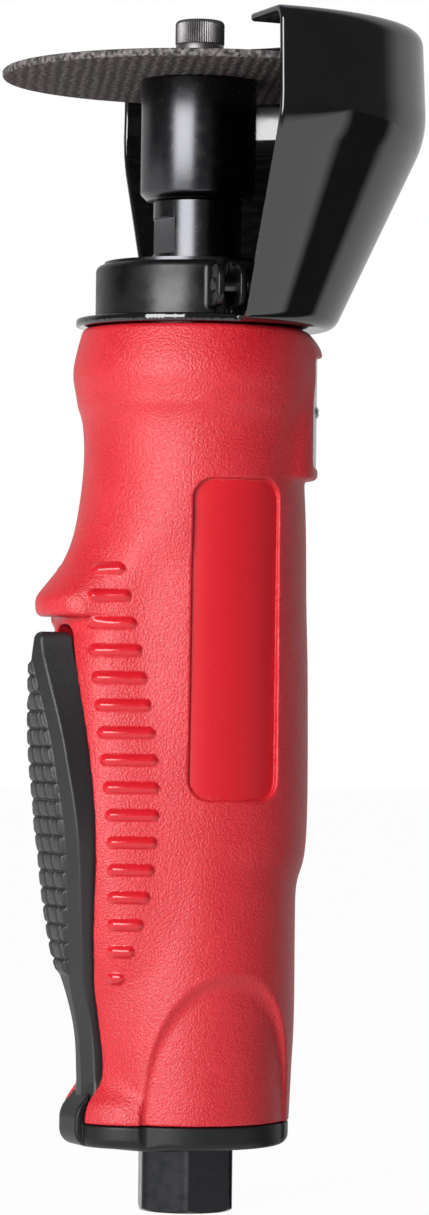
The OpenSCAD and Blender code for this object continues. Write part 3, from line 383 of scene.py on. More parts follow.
def lever_well(u, w, z):
    """Leaf-shaped well for the lever, with a deeper pocket for its foot."""
    end_gap, end_round, floor_round = 1.4, 3.0, 0.6
    outside = w - leaf_line(z) - WELL_GAP
    floor = np.where(z < Z_FLOOR_STEP, FLOOR_LOW_U, FLOOR_TOP_U)
    leaf = round_and(outside, z - Z_LEVER1 - end_gap, end_round)
    well = round_and(leaf, floor - u, floor_round)
    pocket_floor = PIN_U - FOOT_EYE_R - WELL_GAP
    pocket_top = z - Z_PIN - FOOT_EYE_R - WELL_GAP
    pocket = np.maximum(np.maximum(outside, pocket_floor - u), pocket_top)
    return np.minimum(well, pocket)


def inner_bores(x, y, r, z):
    """Room for the nose nut, the motor, the throttle valve and the inlet's stem."""
    nut_r, motor_r, valve_r, stem_r = 17.7, 16.0, 5.25, 7.45
    valve_x, valve_half, stem_h = -1.5, 15, 10
    nose = np.maximum(r - nut_r, Z_NUT0 - z)
    motor = np.maximum(r - motor_r, Z_MOTOR0 - z)
    valve = np.maximum(np.hypot(y, z - Z_VALVE) - valve_r, np.abs(x - valve_x) - valve_half)
    stem = np.maximum(r - stem_r, z - Z_GRIP0 - stem_h)
    return np.minimum(np.minimum(nose, motor), np.minimum(valve, stem))


def panel_outline(x, z):
    """Distance to the outline of the smooth side panels."""
    return rounded_box(x, z - Z_PANEL, PANEL_HALF[0], PANEL_HALF[1], PANEL_ROUND)


def plate_outline(arc, z, gap=0.0):
    """Distance to the outline of the side plate, or of its seat with a gap round it."""
    return rounded_box(arc, z - Z_PLATE, PLATE_HALF_A * PLATE_R + gap, PLATE_H / 2 + gap, PLATE_ROUND)


def grip_field(x, y, z):
    """Red grip. The last number of each join and cut is the size of its rounded edge."""
    u, w, r = -x, np.abs(y), np.hypot(x, y)
    solid = r - body_line(z)
    solid = soft_or(solid, np.hypot(x - SWELL_SHIFT, y) - swell_line(z), 1.0)
    solid = soft_or(solid, lever_side(u, w, z), 1.6)
    solid = soft_or(solid, finger_stop(u, w, z), 1.0)
    solid = solid - rib_height(u, w, z)
    solid = soft_or(solid, plate_boss(x, y, r, z), 1.0)
    solid = soft_and(solid, nose_slope(x, y, z), 0.8)
    solid = soft_and(solid, -arch_field(x, r, z), 0.4)
    solid = round_cut(solid, round_and(panel_outline(x, z), PANEL_R - r, 0.3), 0.55)
    seat = plate_outline(np.arctan2(y, x) * PLATE_R, z, SEAT_GAP)
    solid = round_cut(solid, np.maximum(seat, PLATE_R - PLATE_T - r), 0.25)
    solid = round_cut(solid, lever_well(u, w, z), 0.5)
    solid = round_and(solid, z - Z_GRIP1, 1.0)
    solid = round_and(solid, Z_GRIP0 - z, 0.35)
    return round_cut(solid, inner_bores(x, y, r, z), 0.2)


def pad_height(y, z, crease):
    """Small raised squares on the lever's face, inside a leaf-shaped outline."""
    side_fade, end_fade, row_power, column_power = 0.7, 0.4, 5, 8
    row = (z - Z_PIN - PAD_START) / PAD_ROW
    column = y / PAD_COLUMN + 0.5
    across = np.abs(2 * (row - np.floor(row)) - 1)
    along = np.abs(2 * (column - np.floor(column)) - 1)
    edge = step_up((crease - PAD_INSET - np.abs(y)) / side_fade)
    ends = step_up(row / end_fade) * step_up((PAD_ROWS - row) / end_fade)
    return PAD_H * (1 - across**row_power) * (1 - along**column_power) * edge * ends


def lever_field(x, y, z):
    """Throttle lever: a bevelled paddle and the eye of its foot, with a bore for the pin."""
    u, w = -x, np.abs(y)
    leaf = leaf_line(z)
    crease = leaf - TIP_TAPER * step_up((z - Z_PIN - TIP_START) / TIP_LENGTH)
    edge = lever_outer(z) - EDGE_DROP
    face = edge + BEVEL_SLOPE * np.clip(crease - w, 0, BEVEL_W)
    depth = np.clip((edge - u) / SIDE_DEPTH, 0, 1)
    front = u - face + FACE_CROWN * y * y - pad_height(y, z, crease)
    side = w - crease - (leaf - crease) * depth
    paddle = round_and(front, side, 0.35)
    paddle = round_and(paddle, lever_inner(z) - u, 0.3)
    paddle = round_and(paddle, z - Z_LEVER1, 1.4)
    paddle = np.maximum(paddle, Z_PIN - z)
    from_pin = np.hypot(u - PIN_U, z - Z_PIN)
    eye = round_and(from_pin - FOOT_EYE_R, w - leaf_line(Z_PIN), 0.4)
    return np.maximum(round_or(paddle, eye, 1.5), PIN_BORE_R - from_pin)


def end_cap_field(x, y, z):
    """End cap: a round foot, the flare under the rails, the ear outside the lever's foot, and holes."""
    u, w, r = -x, np.abs(y), np.hypot(x, y)
    under = Z_CAP0 - z
    cap = round_and(r - FOOT_R + CAP_STEP, under, 2.0)
    rails = np.hypot(u - RAIL_SHIFT, w) - rail_round(Z_GRIP0) + FLARE_STEP
    flare = soft_and(flank_line(u, w), rails, 2.0)
    flare = round_and(round_and(flare, u - FLARE_U + FLARE_STEP, 0.6), under, 2.0)
    solid = round_and(soft_or(cap, flare, 1.6), z - Z_GRIP0 + CAP_GAP, 0.4)
    slope = (u - EAR_U) * EAR_SLOPE[0] + (z - Z_GRIP0 - EAR_RISE) * EAR_SLOPE[1]
    ear = round_and(round_and(u - EAR_U, slope / math.hypot(*EAR_SLOPE), 1.2), under, 3.2)
    inner_u = np.where(z > Z_GRIP0 - CAP_GAP, PIN_U + FOOT_EYE_R + WELL_GAP, EAR_ROOT_U)
    ear = round_and(np.maximum(ear, inner_u - u), w - EAR_HALF_W, 0.7)
    solid = np.minimum(solid, ear)
    solid = soft_and(solid, -arch_field(x, r, z), 0.3)
    solid = round_cut(solid, r - CAP_BORE_R, 0.3)
    for side, hole in itertools.product((-1, 1), range(EXHAUST_HOLES)):
        angle = side * math.pi / 2 + (hole - (EXHAUST_HOLES - 1) / 2) * EXHAUST_PITCH
        hole_r = np.hypot(x - EXHAUST_R * math.cos(angle), y - EXHAUST_R * math.sin(angle))
        solid = round_cut(solid, hole_r - EXHAUST_HOLE_R, 0.25)
    return solid


# Guard: a pressed sheet that follows one bent line, turned about the spindle
HOOD_LOW, HOOD_HIGH = span("guard_hood")
GUARD_R = -HOOD_LOW[1]
Z_GUARD0, Z_HOOD1 = HOOD_LOW[2], HOOD_HIGH[2]
SHEET_T = 1.6
DRUM_H = 20.3
DRUM_LEAN = 0.9
DRUM_OUT = 0.5
MOUTH_RISE = 0.15
SKIRT_R = 26.6
MOUTH_R = 27.4
RING_R = 23.2
# Bends at the skirt's foot, at the fold under the drum, and at the mouth
BEND_RADII = (2.6, 18.0, 2.4)
GUARD_TURN = math.radians(-4.5)
COLLAR_LOW, COLLAR_HIGH = span("guard_collar")
COLLAR_R = COLLAR_HIGH[0]
COLLAR_IN_R = COLLAR_R - SHEET_T
SPLIT_A = GUARD_TURN - math.radians(95)
CLAMP_U = COLLAR_R + 2.9
LUG_U = COLLAR_R + 6.0
SPLIT_HALF = 1.3
LUG_HALF_H = 4.0
LUG_ROUND = 2.6
Z_CLAMP = (COLLAR_LOW[2] + COLLAR_HIGH[2]) / 2


def bent_line(points, radii):
    """Straight stretches and arcs of a line with rounded bends."""
    spots = [np.array(p, float) for p in points]
    lines, arcs = [], []
    start = spots[0]
    for before, corner, after, radius in zip(spots, spots[1:], spots[2:], radii):
        back = (before - corner) / np.linalg.norm(before - corner)
        ahead = (after - corner) / np.linalg.norm(after - corner)
        half = math.acos(float(back @ ahead)) / 2
        reach = radius / math.tan(half)
        middle = (back + ahead) / np.linalg.norm(back + ahead)
        lines.append((start, corner + back * reach))
        arcs.append((corner + middle * radius / math.sin(half), radius, -middle, math.pi / 2 - half))
        start = corner + ahead * reach
    lines.append((start, spots[-1]))
    return lines, arcs


def line_distance(r, z, lines, arcs):
    """Distance to a bent line in the plane of radius and height."""
    near = np.inf
    for a, b in lines:
        way = b - a
        t = np.clip(((r - a[0]) * way[0] + (z - a[1]) * way[1]) / float(way @ way), 0, 1)
        near = np.minimum(near, np.hypot(r - a[0] - t * way[0], z - a[1] - t * way[1]))
    for centre, radius, middle, half in arcs:
        dr, dz = r - centre[0], z - centre[1]
        out = np.hypot(dr, dz)
        inside = dr * middle[0] + dz * middle[1] >= out * math.cos(half)
        near = np.where(inside, np.minimum(near, np.abs(out - radius)), near)
    return near


def hood_line():
    """Middle line of the guard's sheet, from its base ring out and up to the mouth."""
    half = SHEET_T / 2
    z_drum0 = Z_HOOD1 - DRUM_H
    lean = math.atan((GUARD_R - SKIRT_R) / (z_drum0 - Z_GUARD0))
    z_base = Z_GUARD0 + half
    drum_r = GUARD_R - half + DRUM_OUT
    z_top = Z_HOOD1 - half + MOUTH_RISE
    foot_r = SKIRT_R + half * math.tan(lean) - half / math.cos(lean)
    fold_z = z_drum0 - half * math.tan(lean / 2)
    points = [(COLLAR_IN_R + 1, z_base), (foot_r, z_base), (drum_r, fold_z + half * math.tan(lean)),
              (drum_r - DRUM_LEAN, z_top), (MOUTH_R, z_top)]
    return bent_line(points, BEND_RADII)


HOOD_LINES, HOOD_ARCS = hood_line()


def hood_field(x, y, z):
    """Half-round guard on a full base ring."""
    r = np.hypot(x, y)
    sheet = line_distance(r, z, HOOD_LINES, HOOD_ARCS) - SHEET_T / 2
    behind = -(x * math.cos(GUARD_TURN) + y * math.sin(GUARD_TURN))
    hood = round_and(sheet, behind, 0.7)
    across = np.maximum(r - RING_R, COLLAR_IN_R - r)
    ring = round_and(across, np.abs(z - Z_GUARD0 - SHEET_T / 2) - SHEET_T / 2, 0.45)
    return np.minimum(hood, ring)


def collar_field(x, y, z):
    """Split clamp band with two lugs."""
    r = np.hypot(x, y)
    out = x * math.cos(SPLIT_A) + y * math.sin(SPLIT_A)
    side = np.abs(y * math.cos(SPLIT_A) - x * math.sin(SPLIT_A))
    band = round_and(r - COLLAR_R, z - COLLAR_HIGH[2], 1.4)
    band = round_and(band, COLLAR_IN_R - r, 0.3)
    band = np.maximum(band, COLLAR_LOW[2] - z)
    lug_mid, lug_half = (LUG_U + COLLAR_IN_R) / 2, (LUG_U - COLLAR_IN_R) / 2
    tall = rounded_box(out - lug_mid, z - Z_CLAMP, lug_half, LUG_HALF_H, LUG_ROUND)
    lug = round_and(tall, np.abs(side - SPLIT_HALF - SHEET_T / 2) - SHEET_T / 2, 0.45)
    solid = round_or(band, np.maximum(lug, COLLAR_IN_R - r), 1.0)
    split = np.maximum(side - SPLIT_HALF, -out)
    return round_cut(solid, split, 0.5)


def plate_field(x, y, z):
    """Thin plate bent round the +X side."""
    outline = plate_outline(np.arctan2(y, x) * PLATE_R, z)
    return round_and(outline, np.abs(np.hypot(x, y) - PLATE_R + PLATE_T / 2) - PLATE_T / 2, 0.2)


HEAD_R = 1.35
HEAD_H = 0.6
PLATE_SCREW_A = math.radians(32)


def plate_screw_field(side):
    """Domed screw with a cross recess, in the side plate."""
    a = side * PLATE_SCREW_A
    dome_r = (HEAD_R**2 + HEAD_H**2) / (2 * HEAD_H)
    bar_half_w, bar_half_l, cross_floor = 0.2, 0.8, 0.12
    sink, shank_r, shank_l = 0.1, 0.8, 4

    def field(x, y, z):
        out = x * math.cos(a) + y * math.sin(a) - PLATE_R
        across = y * math.cos(a) - x * math.sin(a)
        up = z - Z_PLATE
        off = np.hypot(across, up)
        head = round_and(np.hypot(off, out + dome_r - HEAD_H) - dome_r, -out - sink, 0.05)
        bars = np.minimum(np.maximum(np.abs(across) - bar_half_w, np.abs(up) - bar_half_l),
                          np.maximum(np.abs(up) - bar_half_w, np.abs(across) - bar_half_l))
        head = round_cut(head, np.maximum(bars, cross_floor - out), 0.06)
        shank = np.maximum(off - shank_r, np.maximum(out, -shank_l - out))
        return np.minimum(head, shank)
    return field


# Meshes
def gradient(field, points, h=0.04):
    """Value and slope of a field at loose points."""
    slope = np.empty_like(points)
    for axis in range(3):
        shift = np.zeros(3)
        shift[axis] = h
        slope[:, axis] = (field(*(points + shift).T) - field(*(points - shift).T)) / (2 * h)
    return field(*points.T), slope


def net(field, low, high, step):
    """Quads where a field changes sign: points, faces and the surface normals at the points."""
    low = np.array(low, float)
    axes = [np.arange(a, b + step, step) for a, b in zip(low, high)]
    value = field(*np.meshgrid(*axes, indexing="ij", sparse=True)).astype(np.float32)
    solid = value < 0
    n = value.shape
    corners = [np.array(c) for c in itertools.product((0, 1), repeat=3)]
    filled = sum(
        solid[i:n[0] - 1 + i, j:n[1] - 1 + j, k:n[2] - 1 + k].astype(np.int8) for i, j, k in corners
    )
    active = (filled > 0) & (filled < 8)
    cells = np.argwhere(active)
    index = np.full(active.shape, -1, np.int64)
    index[active] = np.arange(len(cells))
    total = np.zeros((len(cells), 3))
    hits = np.zeros(len(cells))
    faces = []
    for axis in range(3):
        way, side_b, side_c = np.roll(np.eye(3, dtype=int), -axis, axis=0)
        for corner in (c for c in corners if c[axis] == 0):
            a = value[tuple((cells + corner).T)]
            b = value[tuple((cells + corner + way).T)]
            crosses = (a < 0) != (b < 0)
            share = np.where(crosses, a / np.where(crosses, a - b, 1), 0)
            total += crosses[:, None] * (cells + corner + share[:, None] * way)
            hits += crosses
        ahead = np.roll(solid, -1, axis)
        edges = np.argwhere(solid != ahead)
        inner = (edges < np.array(n) - 1) & (edges >= side_b + side_c)
        edges = edges[inner.all(axis=1)]
        around = [edges - side_b - side_c, edges - side_c, edges, edges - side_b]
        quads = np.stack([index[tuple(c.T)] for c in around], axis=1)
        inward = ~solid[tuple(edges.T)]
        quads[inward] = quads[inward][:, ::-1]
        faces.append(quads)
    points = low + step * total / hits[:, None]
    pulls = 4
    for _ in range(pulls):
        value_here, slope = gradient(field, points)
        size = np.maximum((slope**2).sum(1), 0.1)
        points -= slope * np.clip(value_here / size, -step / 2, step / 2)[:, None]
    _, slope = gradient(field, points)
    normals = slope / np.maximum(np.linalg.norm(slope, axis=1), 1e-9)[:, None]
    return points, np.vstack(faces), normals


def new_object(name, data):
    """Object in the scene, at the origin."""
    made = bpy.data.objects.new(name, data)
    bpy.context.scene.collection.objects.link(made)
    return made


def mesh_object(name, points, faces):
    """Smooth mesh from points in millimetres."""
    mesh = bpy.data.meshes.new(name)
    mesh.from_pydata((np.asarray(points) / MM).tolist(), [], [list(map(int, f)) for f in faces])
    mesh.update()
    made = new_object(name, mesh)
    mesh.shade_smooth()
    return made


def moulded(name, field, low, high, step):
    """Piece meshed from a field, shaded with the field's own normals."""
    points, faces, normals = net(field, np.array(low) - 2 * step, np.array(high) + 2 * step, step)
    made = mesh_object(name, points, faces)
    made.data.normals_split_custom_set_from_vertices(normals.tolist())
    return made


def row_faces(rows, count, ring):
    """Faces between rows of points. A ring joins its last row to its first, and otherwise a flat face
    closes each end."""
    here = np.arange(count)
    there = (here + 1) % count
    faces = []
    for row in range(rows if ring else rows - 1):
        low, high = row * count, (row + 1) % rows * count
        faces.extend(np.stack([low + here, low + there, high + there, high + here], axis=1).tolist())
    if not ring:
        faces.append(here[::-1].tolist())
        faces.append((here + (rows - 1) * count).tolist())
    return faces


def turned(name, rows, angles, ring=True):
    """Piece swept about the spindle: rows of (radius, height), each one number or one per angle."""
    sharp_a = math.radians(32)
    points = []
    for radius, height in rows:
        r = np.broadcast_to(radius, len(angles))
        z = np.broadcast_to(height, len(angles))
        points.append(np.stack([r * np.cos(angles), r * np.sin(angles), z], axis=1))
    made = mesh_object(name, np.vstack(points), row_faces(len(rows), len(angles), ring))
    made.data.set_sharp_from_angle(angle=sharp_a)
    return made


def full_turn(count, start=0.0):
    """Even angles all round."""
    return start + np.linspace(0, 2 * math.pi, count, endpoint=False)


def hexagon(angles, across_flats, turn):
    """Radius of a hexagon, with a corner at the turn."""
    sector = np.mod(angles - turn, math.pi / 3) - math.pi / 6
    return across_flats / 2 / np.cos(sector)


def bevelled(radius, z, r, up):
    """Rows round a turned edge: up is 1 for an upper edge and -1 for a lower one."""
    a = np.linspace(0, math.pi / 2, 4)[::up]
    return [(radius - r * (1 - math.cos(t)), z - up * r * (1 - math.sin(t))) for t in a]


# Materials
def add(tree, kind, inputs=None, **settings):
    """New shader node; an input is a plain value or another node's socket."""
    made = tree.nodes.new(kind)
    for key, value in settings.items():
        setattr(made, key, value)
    for key, value in (inputs or {}).items():
        if isinstance(value, bpy.types.NodeSocket):
            tree.links.new(value, made.inputs[key])
        else:
            made.inputs[key].default_value = value
    return made


def new_material(name, **sockets):
    """Material with one Principled shader, whose sockets take plain values."""
    made = bpy.data.materials.new(name)
    made.use_nodes = True
    shader = made.node_tree.nodes["Principled BSDF"]
    for key, value in sockets.items():
        shader.inputs[key.replace("_", " ")].default_value = value
    return made, made.node_tree, shader


def object_place(tree):
    """Place on the piece, in metres."""
    return add(tree, "ShaderNodeTexCoord").outputs["Object"]


def noise(tree, size_mm, detail=2.0, vector=None):
    """Noise with grains of about a size in millimetres."""
    place = vector or object_place(tree)
    made = add(tree, "ShaderNodeTexNoise", {"Vector": place, "Scale": MM / size_mm, "Detail": detail})
    return made.outputs["Fac"]


def calc(tree, operation, *terms):
    """Result of one sum."""
    return add(tree, "ShaderNodeMath", dict(enumerate(terms)), operation=operation).outputs["Value"]


def reach_along(tree, place, way):
    """How far a place lies along a direction."""
    return add(tree, "ShaderNodeVectorMath", {0: place, 1: way}, operation="DOT_PRODUCT").outputs["Value"]


def ranged(tree, value, start, stop, low, high):
    """Value that goes from low to high as another one goes from start to stop."""
    made = add(tree, "ShaderNodeMapRange", {
        "Value": value, "From Min": start, "From Max": stop, "To Min": low, "To Max": high})
    return made.outputs["Result"]


def blend_colour(tree, factor, low, high, start=0.35, stop=0.65):
    """Colour that goes from low to high as a factor goes from start to stop."""
    ramp = add(tree, "ShaderNodeValToRGB", {"Fac": factor})
    for element, place, colour in zip(ramp.color_ramp.elements, (start, stop), (low, high)):
        element.position = place
        element.color = (*colour, 1)
    return ramp.outputs["Color"]


def bump(tree, shader, height, depth_mm):
    """Fine relief of a depth in millimetres."""
    made = add(tree, "ShaderNodeBump", {"Height": height, "Distance": depth_mm / MM, "Strength": 1.0})
    tree.links.new(made.outputs["Normal"], shader.inputs["Normal"])


def colour_and_gloss(tree, shader, tone, low, high, patch, rough):
    """Colour between two close ones by a tone, and roughness in a range by a patch."""
    tree.links.new(blend_colour(tree, tone, low, high), shader.inputs["Base Color"])
    tree.links.new(ranged(tree, patch, 0.3, 0.7, *rough), shader.inputs["Roughness"])


def grained(name, low, high, rough, grain_mm, depth_mm, sockets):
    """Moulded or painted surface: two close colours, a range of roughness and a fine grain."""
    patch_mm, patch_share = 9.0, 0.3
    made, tree, shader = new_material(name, **sockets)
    fine = noise(tree, grain_mm)
    broad = noise(tree, patch_mm, 3.0)
    patch = calc(tree, "MULTIPLY", broad, patch_share)
    mottle = calc(tree, "MULTIPLY_ADD", fine, 1 - patch_share, patch)
    colour_and_gloss(tree, shader, mottle, low, high, fine, rough)
    bump(tree, shader, fine, depth_mm)
    return made


def turned_metal(name, low, high, rough, line_mm, depth_mm):
    """Machined metal with fine turning lines round the spindle and faint stains."""
    stain_mm, stretch = 2.2, 0.012
    made, tree, shader = new_material(name, Metallic=1.0)
    squeeze = add(tree, "ShaderNodeMapping", {
        "Vector": object_place(tree), "Scale": (stretch, stretch, 1.0)})
    lines = noise(tree, line_mm, 3.0, squeeze.outputs["Vector"])
    stain = noise(tree, stain_mm, 4.0)
    colour_and_gloss(tree, shader, stain, low, high, stain, rough)
    bump(tree, shader, lines, depth_mm)
    return made


def abrasive_material():
    """Resin-bonded grit over a glass weave; at the rim the grit shows paler, without the weave."""
    weave_a, thread_mm, grit_mm, depth_mm = math.radians(22), 2.1, 0.8, 0.14
    rim_start, rim_stop, rim_share = 0.0372, 0.0378, 0.8
    grit_range = (0.38, 0.68)
    made, tree, shader = new_material("abrasive", Roughness=0.88)
    place = object_place(tree)
    weave_turn = add(tree, "ShaderNodeMapping", {"Vector": place, "Rotation": (0, 0, weave_a)})
    weave = add(tree, "ShaderNodeTexWave", {
        "Vector": weave_turn.outputs["Vector"], "Scale": 2 * math.pi / 20 * MM / thread_mm,
        "Distortion": 2.4, "Detail": 2.0, "Detail Scale": 1.6}, bands_direction="X")
    threads = weave.outputs["Fac"]
    grit = noise(tree, grit_mm, 5.0)
    cloth = blend_colour(tree, threads, (0.40, 0.38, 0.38), (1.0, 1.0, 1.0), 0.1, 0.7)
    sand = blend_colour(tree, grit, (0.018, 0.014, 0.014), (0.36, 0.29, 0.285), *grit_range)
    mixed = add(tree, "ShaderNodeMix", {0: 1.0, 6: sand, 7: cloth}, data_type="RGBA", blend_type="MULTIPLY")
    flat = add(tree, "ShaderNodeVectorMath", {0: place, 1: (1, 1, 0)}, operation="MULTIPLY")
    radius = add(tree, "ShaderNodeVectorMath", {0: flat.outputs["Vector"]}, operation="LENGTH")
    rim = ranged(tree, radius.outputs["Value"], rim_start, rim_stop, 0.0, rim_share)
    pale = blend_colour(tree, grit, (0.034, 0.031, 0.030), (0.30, 0.275, 0.27), *grit_range)
    edged = add(tree, "ShaderNodeMix", {0: rim, 6: mixed.outputs[2], 7: pale}, data_type="RGBA")
    tree.links.new(edged.outputs[2], shader.inputs["Base Color"])
    bump(tree, shader, calc(tree, "ADD", grit, threads), depth_mm)
    return made


# Finishes: two colours, a range of roughness, the width and depth of the grain or lines in mm, and sockets
MOULDED = {
    "red_composite": ((0.64, 0.006, 0.017), (0.80, 0.026, 0.042), (0.34, 0.52), 0.42, 0.20, {"IOR": 1.65}),
    "red_rib": ((0.70, 0.010, 0.022), (0.74, 0.013, 0.025), (0.18, 0.24), 0.5, 0.003, {"IOR": 1.6}),
    "red_panel": ((0.72, 0.010, 0.022), (0.76, 0.014, 0.026), (0.34, 0.42), 0.5, 0.006, {}),
    "black_plastic": ((0.020, 0.020, 0.022), (0.027, 0.027, 0.029), (0.36, 0.48), 0.35, 0.012, {}),
    "cap_plastic": ((0.008, 0.008, 0.009), (0.013, 0.012, 0.014), (0.36, 0.46), 0.35, 0.010, {"IOR": 1.38}),
    "black_gloss_paint": ((0.004,) * 3, (0.006,) * 3, (0.04, 0.08), 3.5, 0.003, {"IOR": 1.8}),
    "dipped_paint": ((0.004,) * 3, (0.007,) * 3, (0.22, 0.40), 5.0, 0.12, {"IOR": 1.45}),
    "cast_aluminium": ((0.56, 0.57, 0.58), (0.64, 0.64, 0.65), (0.35, 0.50), 0.5, 0.02, {"Metallic": 1.0}),
    "seal_rubber": ((0.014, 0.014, 0.015), (0.022, 0.022, 0.022), (0.55, 0.70), 0.3, 0.01, {}),
    "felt": ((0.34, 0.32, 0.28), (0.48, 0.45, 0.40), (0.88, 0.98), 0.25, 0.12, {}),
    "phenolic": ((0.24, 0.15, 0.09), (0.33, 0.21, 0.13), (0.45, 0.60), 0.4, 0.02, {}),
}
TURNED = {
    "black_oxide_steel": ((0.074, 0.076, 0.085), (0.088, 0.087, 0.092), (0.23, 0.29), 0.25, 0.003),
    "inlet_oxide": ((0.026, 0.027, 0.031), (0.034, 0.034, 0.037), (0.24, 0.32), 0.25, 0.002),
    "knurled_oxide": ((0.190, 0.178, 0.182), (0.240, 0.225, 0.226), (0.40, 0.50), 0.25, 0.003),
    "bright_metal": ((0.66, 0.66, 0.67), (0.72, 0.72, 0.72), (0.28, 0.38), 0.2, 0.003),
    "hard_steel": ((0.52, 0.53, 0.54), (0.58, 0.58, 0.59), (0.20, 0.30), 0.3, 0.002),
    "brass_fitting": ((0.66, 0.48, 0.20), (0.74, 0.56, 0.28), (0.24, 0.34), 0.3, 0.003),
}
MATERIALS = {"abrasive": abrasive_material()}
MATERIALS.update({name: grained(name, *facts) for name, facts in MOULDED.items()})
MATERIALS.update({name: turned_metal(name, *facts) for name, facts in TURNED.items()})


def dress(piece, body, slot, *nodes, look=None):
    """Puts a finished piece on its body, in place of its nodes. A look is another finish of its slot."""
    piece.data.materials.clear()
    piece.data.materials.append(MATERIALS[look or slot])
    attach(piece, body)
    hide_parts(*nodes)
    return piece


# Grip, lever and end cap
def make_grip():
    """Grip, with its smooth panels and ribs picked out by face."""
    smooth_inset, skin, side_y = 0.3, 0.2, 10
    grip = moulded("grip_shell", grip_field, GRIP_LOW, GRIP_HIGH, 0.4)
    dress(grip, "grip", "red_composite", "grip")
    grip.data.materials.append(MATERIALS["red_panel"])
    grip.data.materials.append(MATERIALS["red_rib"])
    centres = np.empty(len(grip.data.polygons) * 3)
    grip.data.polygons.foreach_get("center", centres)
    x, y, z = centres.reshape(-1, 3).T * MM
    r = np.hypot(x, y)
    panel = (panel_outline(x, z) < -smooth_inset) & (r < PANEL_R + skin) & (np.abs(y) > side_y)
    rib = (rib_height(-x, np.abs(y), z) > RIB_GLOSS_H) & (r > PANEL_R)
    grip.data.polygons.foreach_set("material_index", (panel + 2 * rib).astype(np.int32))


make_grip()
EYE_ROOM = 2
dress(moulded("throttle_lever_moulding", lever_field, LEVER_LOW - EYE_ROOM, LEVER_HIGH, 0.3),
      "lever", "black_plastic", "throttle_lever")
dress(moulded("end_cap_moulding", end_cap_field, CAP_LOW, CAP_HIGH, 0.36),
      "grip", "black_plastic", "end_cap", look="cap_plastic")

# Guard and its clamp
dress(moulded("guard_hood_pressing", hood_field, HOOD_LOW, HOOD_HIGH, 0.5),
      "guard", "black_gloss_paint", "guard_hood")
dress(moulded("guard_clamp_band", collar_field, COLLAR_LOW, COLLAR_HIGH, 0.36),
      "guard", "black_gloss_paint", "guard_collar", look="dipped_paint")

# Side plate and its two screws
dress(moulded("side_plate_sheet", plate_field, PLATE_LOW, PLATE_HIGH, 0.25),
      "grip", "bright_metal", "side_plate")
for screw_name, screw_side in (("near", -1), ("far", 1)):
    screw_node = "side_plate_screw_" + screw_name
    screw_low, screw_high = span(screw_node)
    dress(moulded("plate_screw_" + screw_name, plate_screw_field(screw_side), screw_low, screw_high, 0.1),
          "grip", "bright_metal", screw_node)


def make_inlet():
    """Hex inlet with a turned chamfer and a thread inside."""
    _, high = span("inlet_bushing")
    hex_af, hex_top, hex_turn, corner_off = 17.46, Z_CAP0, math.radians(10), 0.2
    bore_r, bore_depth, throat_r, stem_r, stem_wall = 5.75, 12.0, 4.6, 7.4, 0.6
    pitch, thread_h, lead_in, rows_per_pitch = 1.41, 0.55, 0.9, 8
    relief, relief_h, edge = 0.4, 1, 0.25
    chamfer_h, chamfer_slope, chamfer_step = 1.5, 1.75, 0.1
    angles = full_turn(96, hex_turn)
    corner_r = hex_af / 2 / math.cos(math.pi / 6) - corner_off
    outline = np.minimum(hexagon(angles, hex_af, hex_turn), corner_r)
    rows = [(throat_r, high[2]), (throat_r, bore_depth + relief_h)]
    rows += [(bore_r - relief, bore_depth + relief_h), (bore_r - relief, bore_depth)]
    for z in np.arange(bore_depth, lead_in, -pitch / rows_per_pitch):
        turns = z / pitch - angles / (2 * math.pi)
        ridge = np.abs(2 * (turns - np.floor(turns)) - 1)
        fade = min(1.0, (z - lead_in) / pitch, (bore_depth - z) / pitch)
        rows.append((bore_r - thread_h * max(fade, 0) * ridge, z))
    rows += [(bore_r, lead_in), (bore_r + lead_in, 0.0)]
    for z in np.linspace(0, chamfer_h, 9):
        rows.append((np.minimum(outline, hex_af / 2 + chamfer_step + chamfer_slope * z), z))
    rows += [(outline, hex_top - edge), (outline - edge, hex_top), (stem_r, hex_top)]
    rows += [(stem_r, high[2] - stem_wall), (stem_r - stem_wall, high[2])]
    return turned("inlet_hex", rows, angles)


dress(make_inlet(), "grip", "black_oxide_steel", "inlet_bushing", look="inlet_oxide")


def make_spindle():
    """Neck with two wrench flats, its foot in the grip and its stud in the arbor."""
    low, high = span("spindle")
    arbor_z = span("wheel_arbor")[0][2]
    neck_r, stud_r, bore_r, core_r = high[0], 4.0, 5.0, 0.5
    flat_half, flat_h, flat_gap, flat_fillet = 7.0, 7.0, 3.5, 0.15
    foot_step, edge = 1, 0.4
    z_foot, z_bore, flat_top = low[2] + 5, low[2] + 22, arbor_z - flat_gap
    angles = full_turn(256)
    flat = np.minimum(neck_r, flat_half / np.maximum(np.abs(np.cos(angles)), 0.1))
    rows = [(bore_r, low[2]), (neck_r - foot_step, low[2]), (neck_r - foot_step, z_foot), (neck_r, z_foot)]
    rows += [(neck_r, flat_top - flat_h), (flat, flat_top - flat_h + 0.05), (flat, flat_top - 0.5)]
    rows += [(np.minimum(neck_r, flat + flat_fillet), flat_top - flat_fillet), (neck_r, flat_top)]
    rows += [(neck_r, arbor_z - edge), (neck_r - edge, arbor_z), (stud_r, arbor_z)]
    rows += [(stud_r, high[2]), (core_r, high[2]), (core_r, z_bore), (bore_r, z_bore)]
    return turned("spindle_neck", rows, angles)


dress(make_spindle(), "spindle", "black_oxide_steel", "spindle")


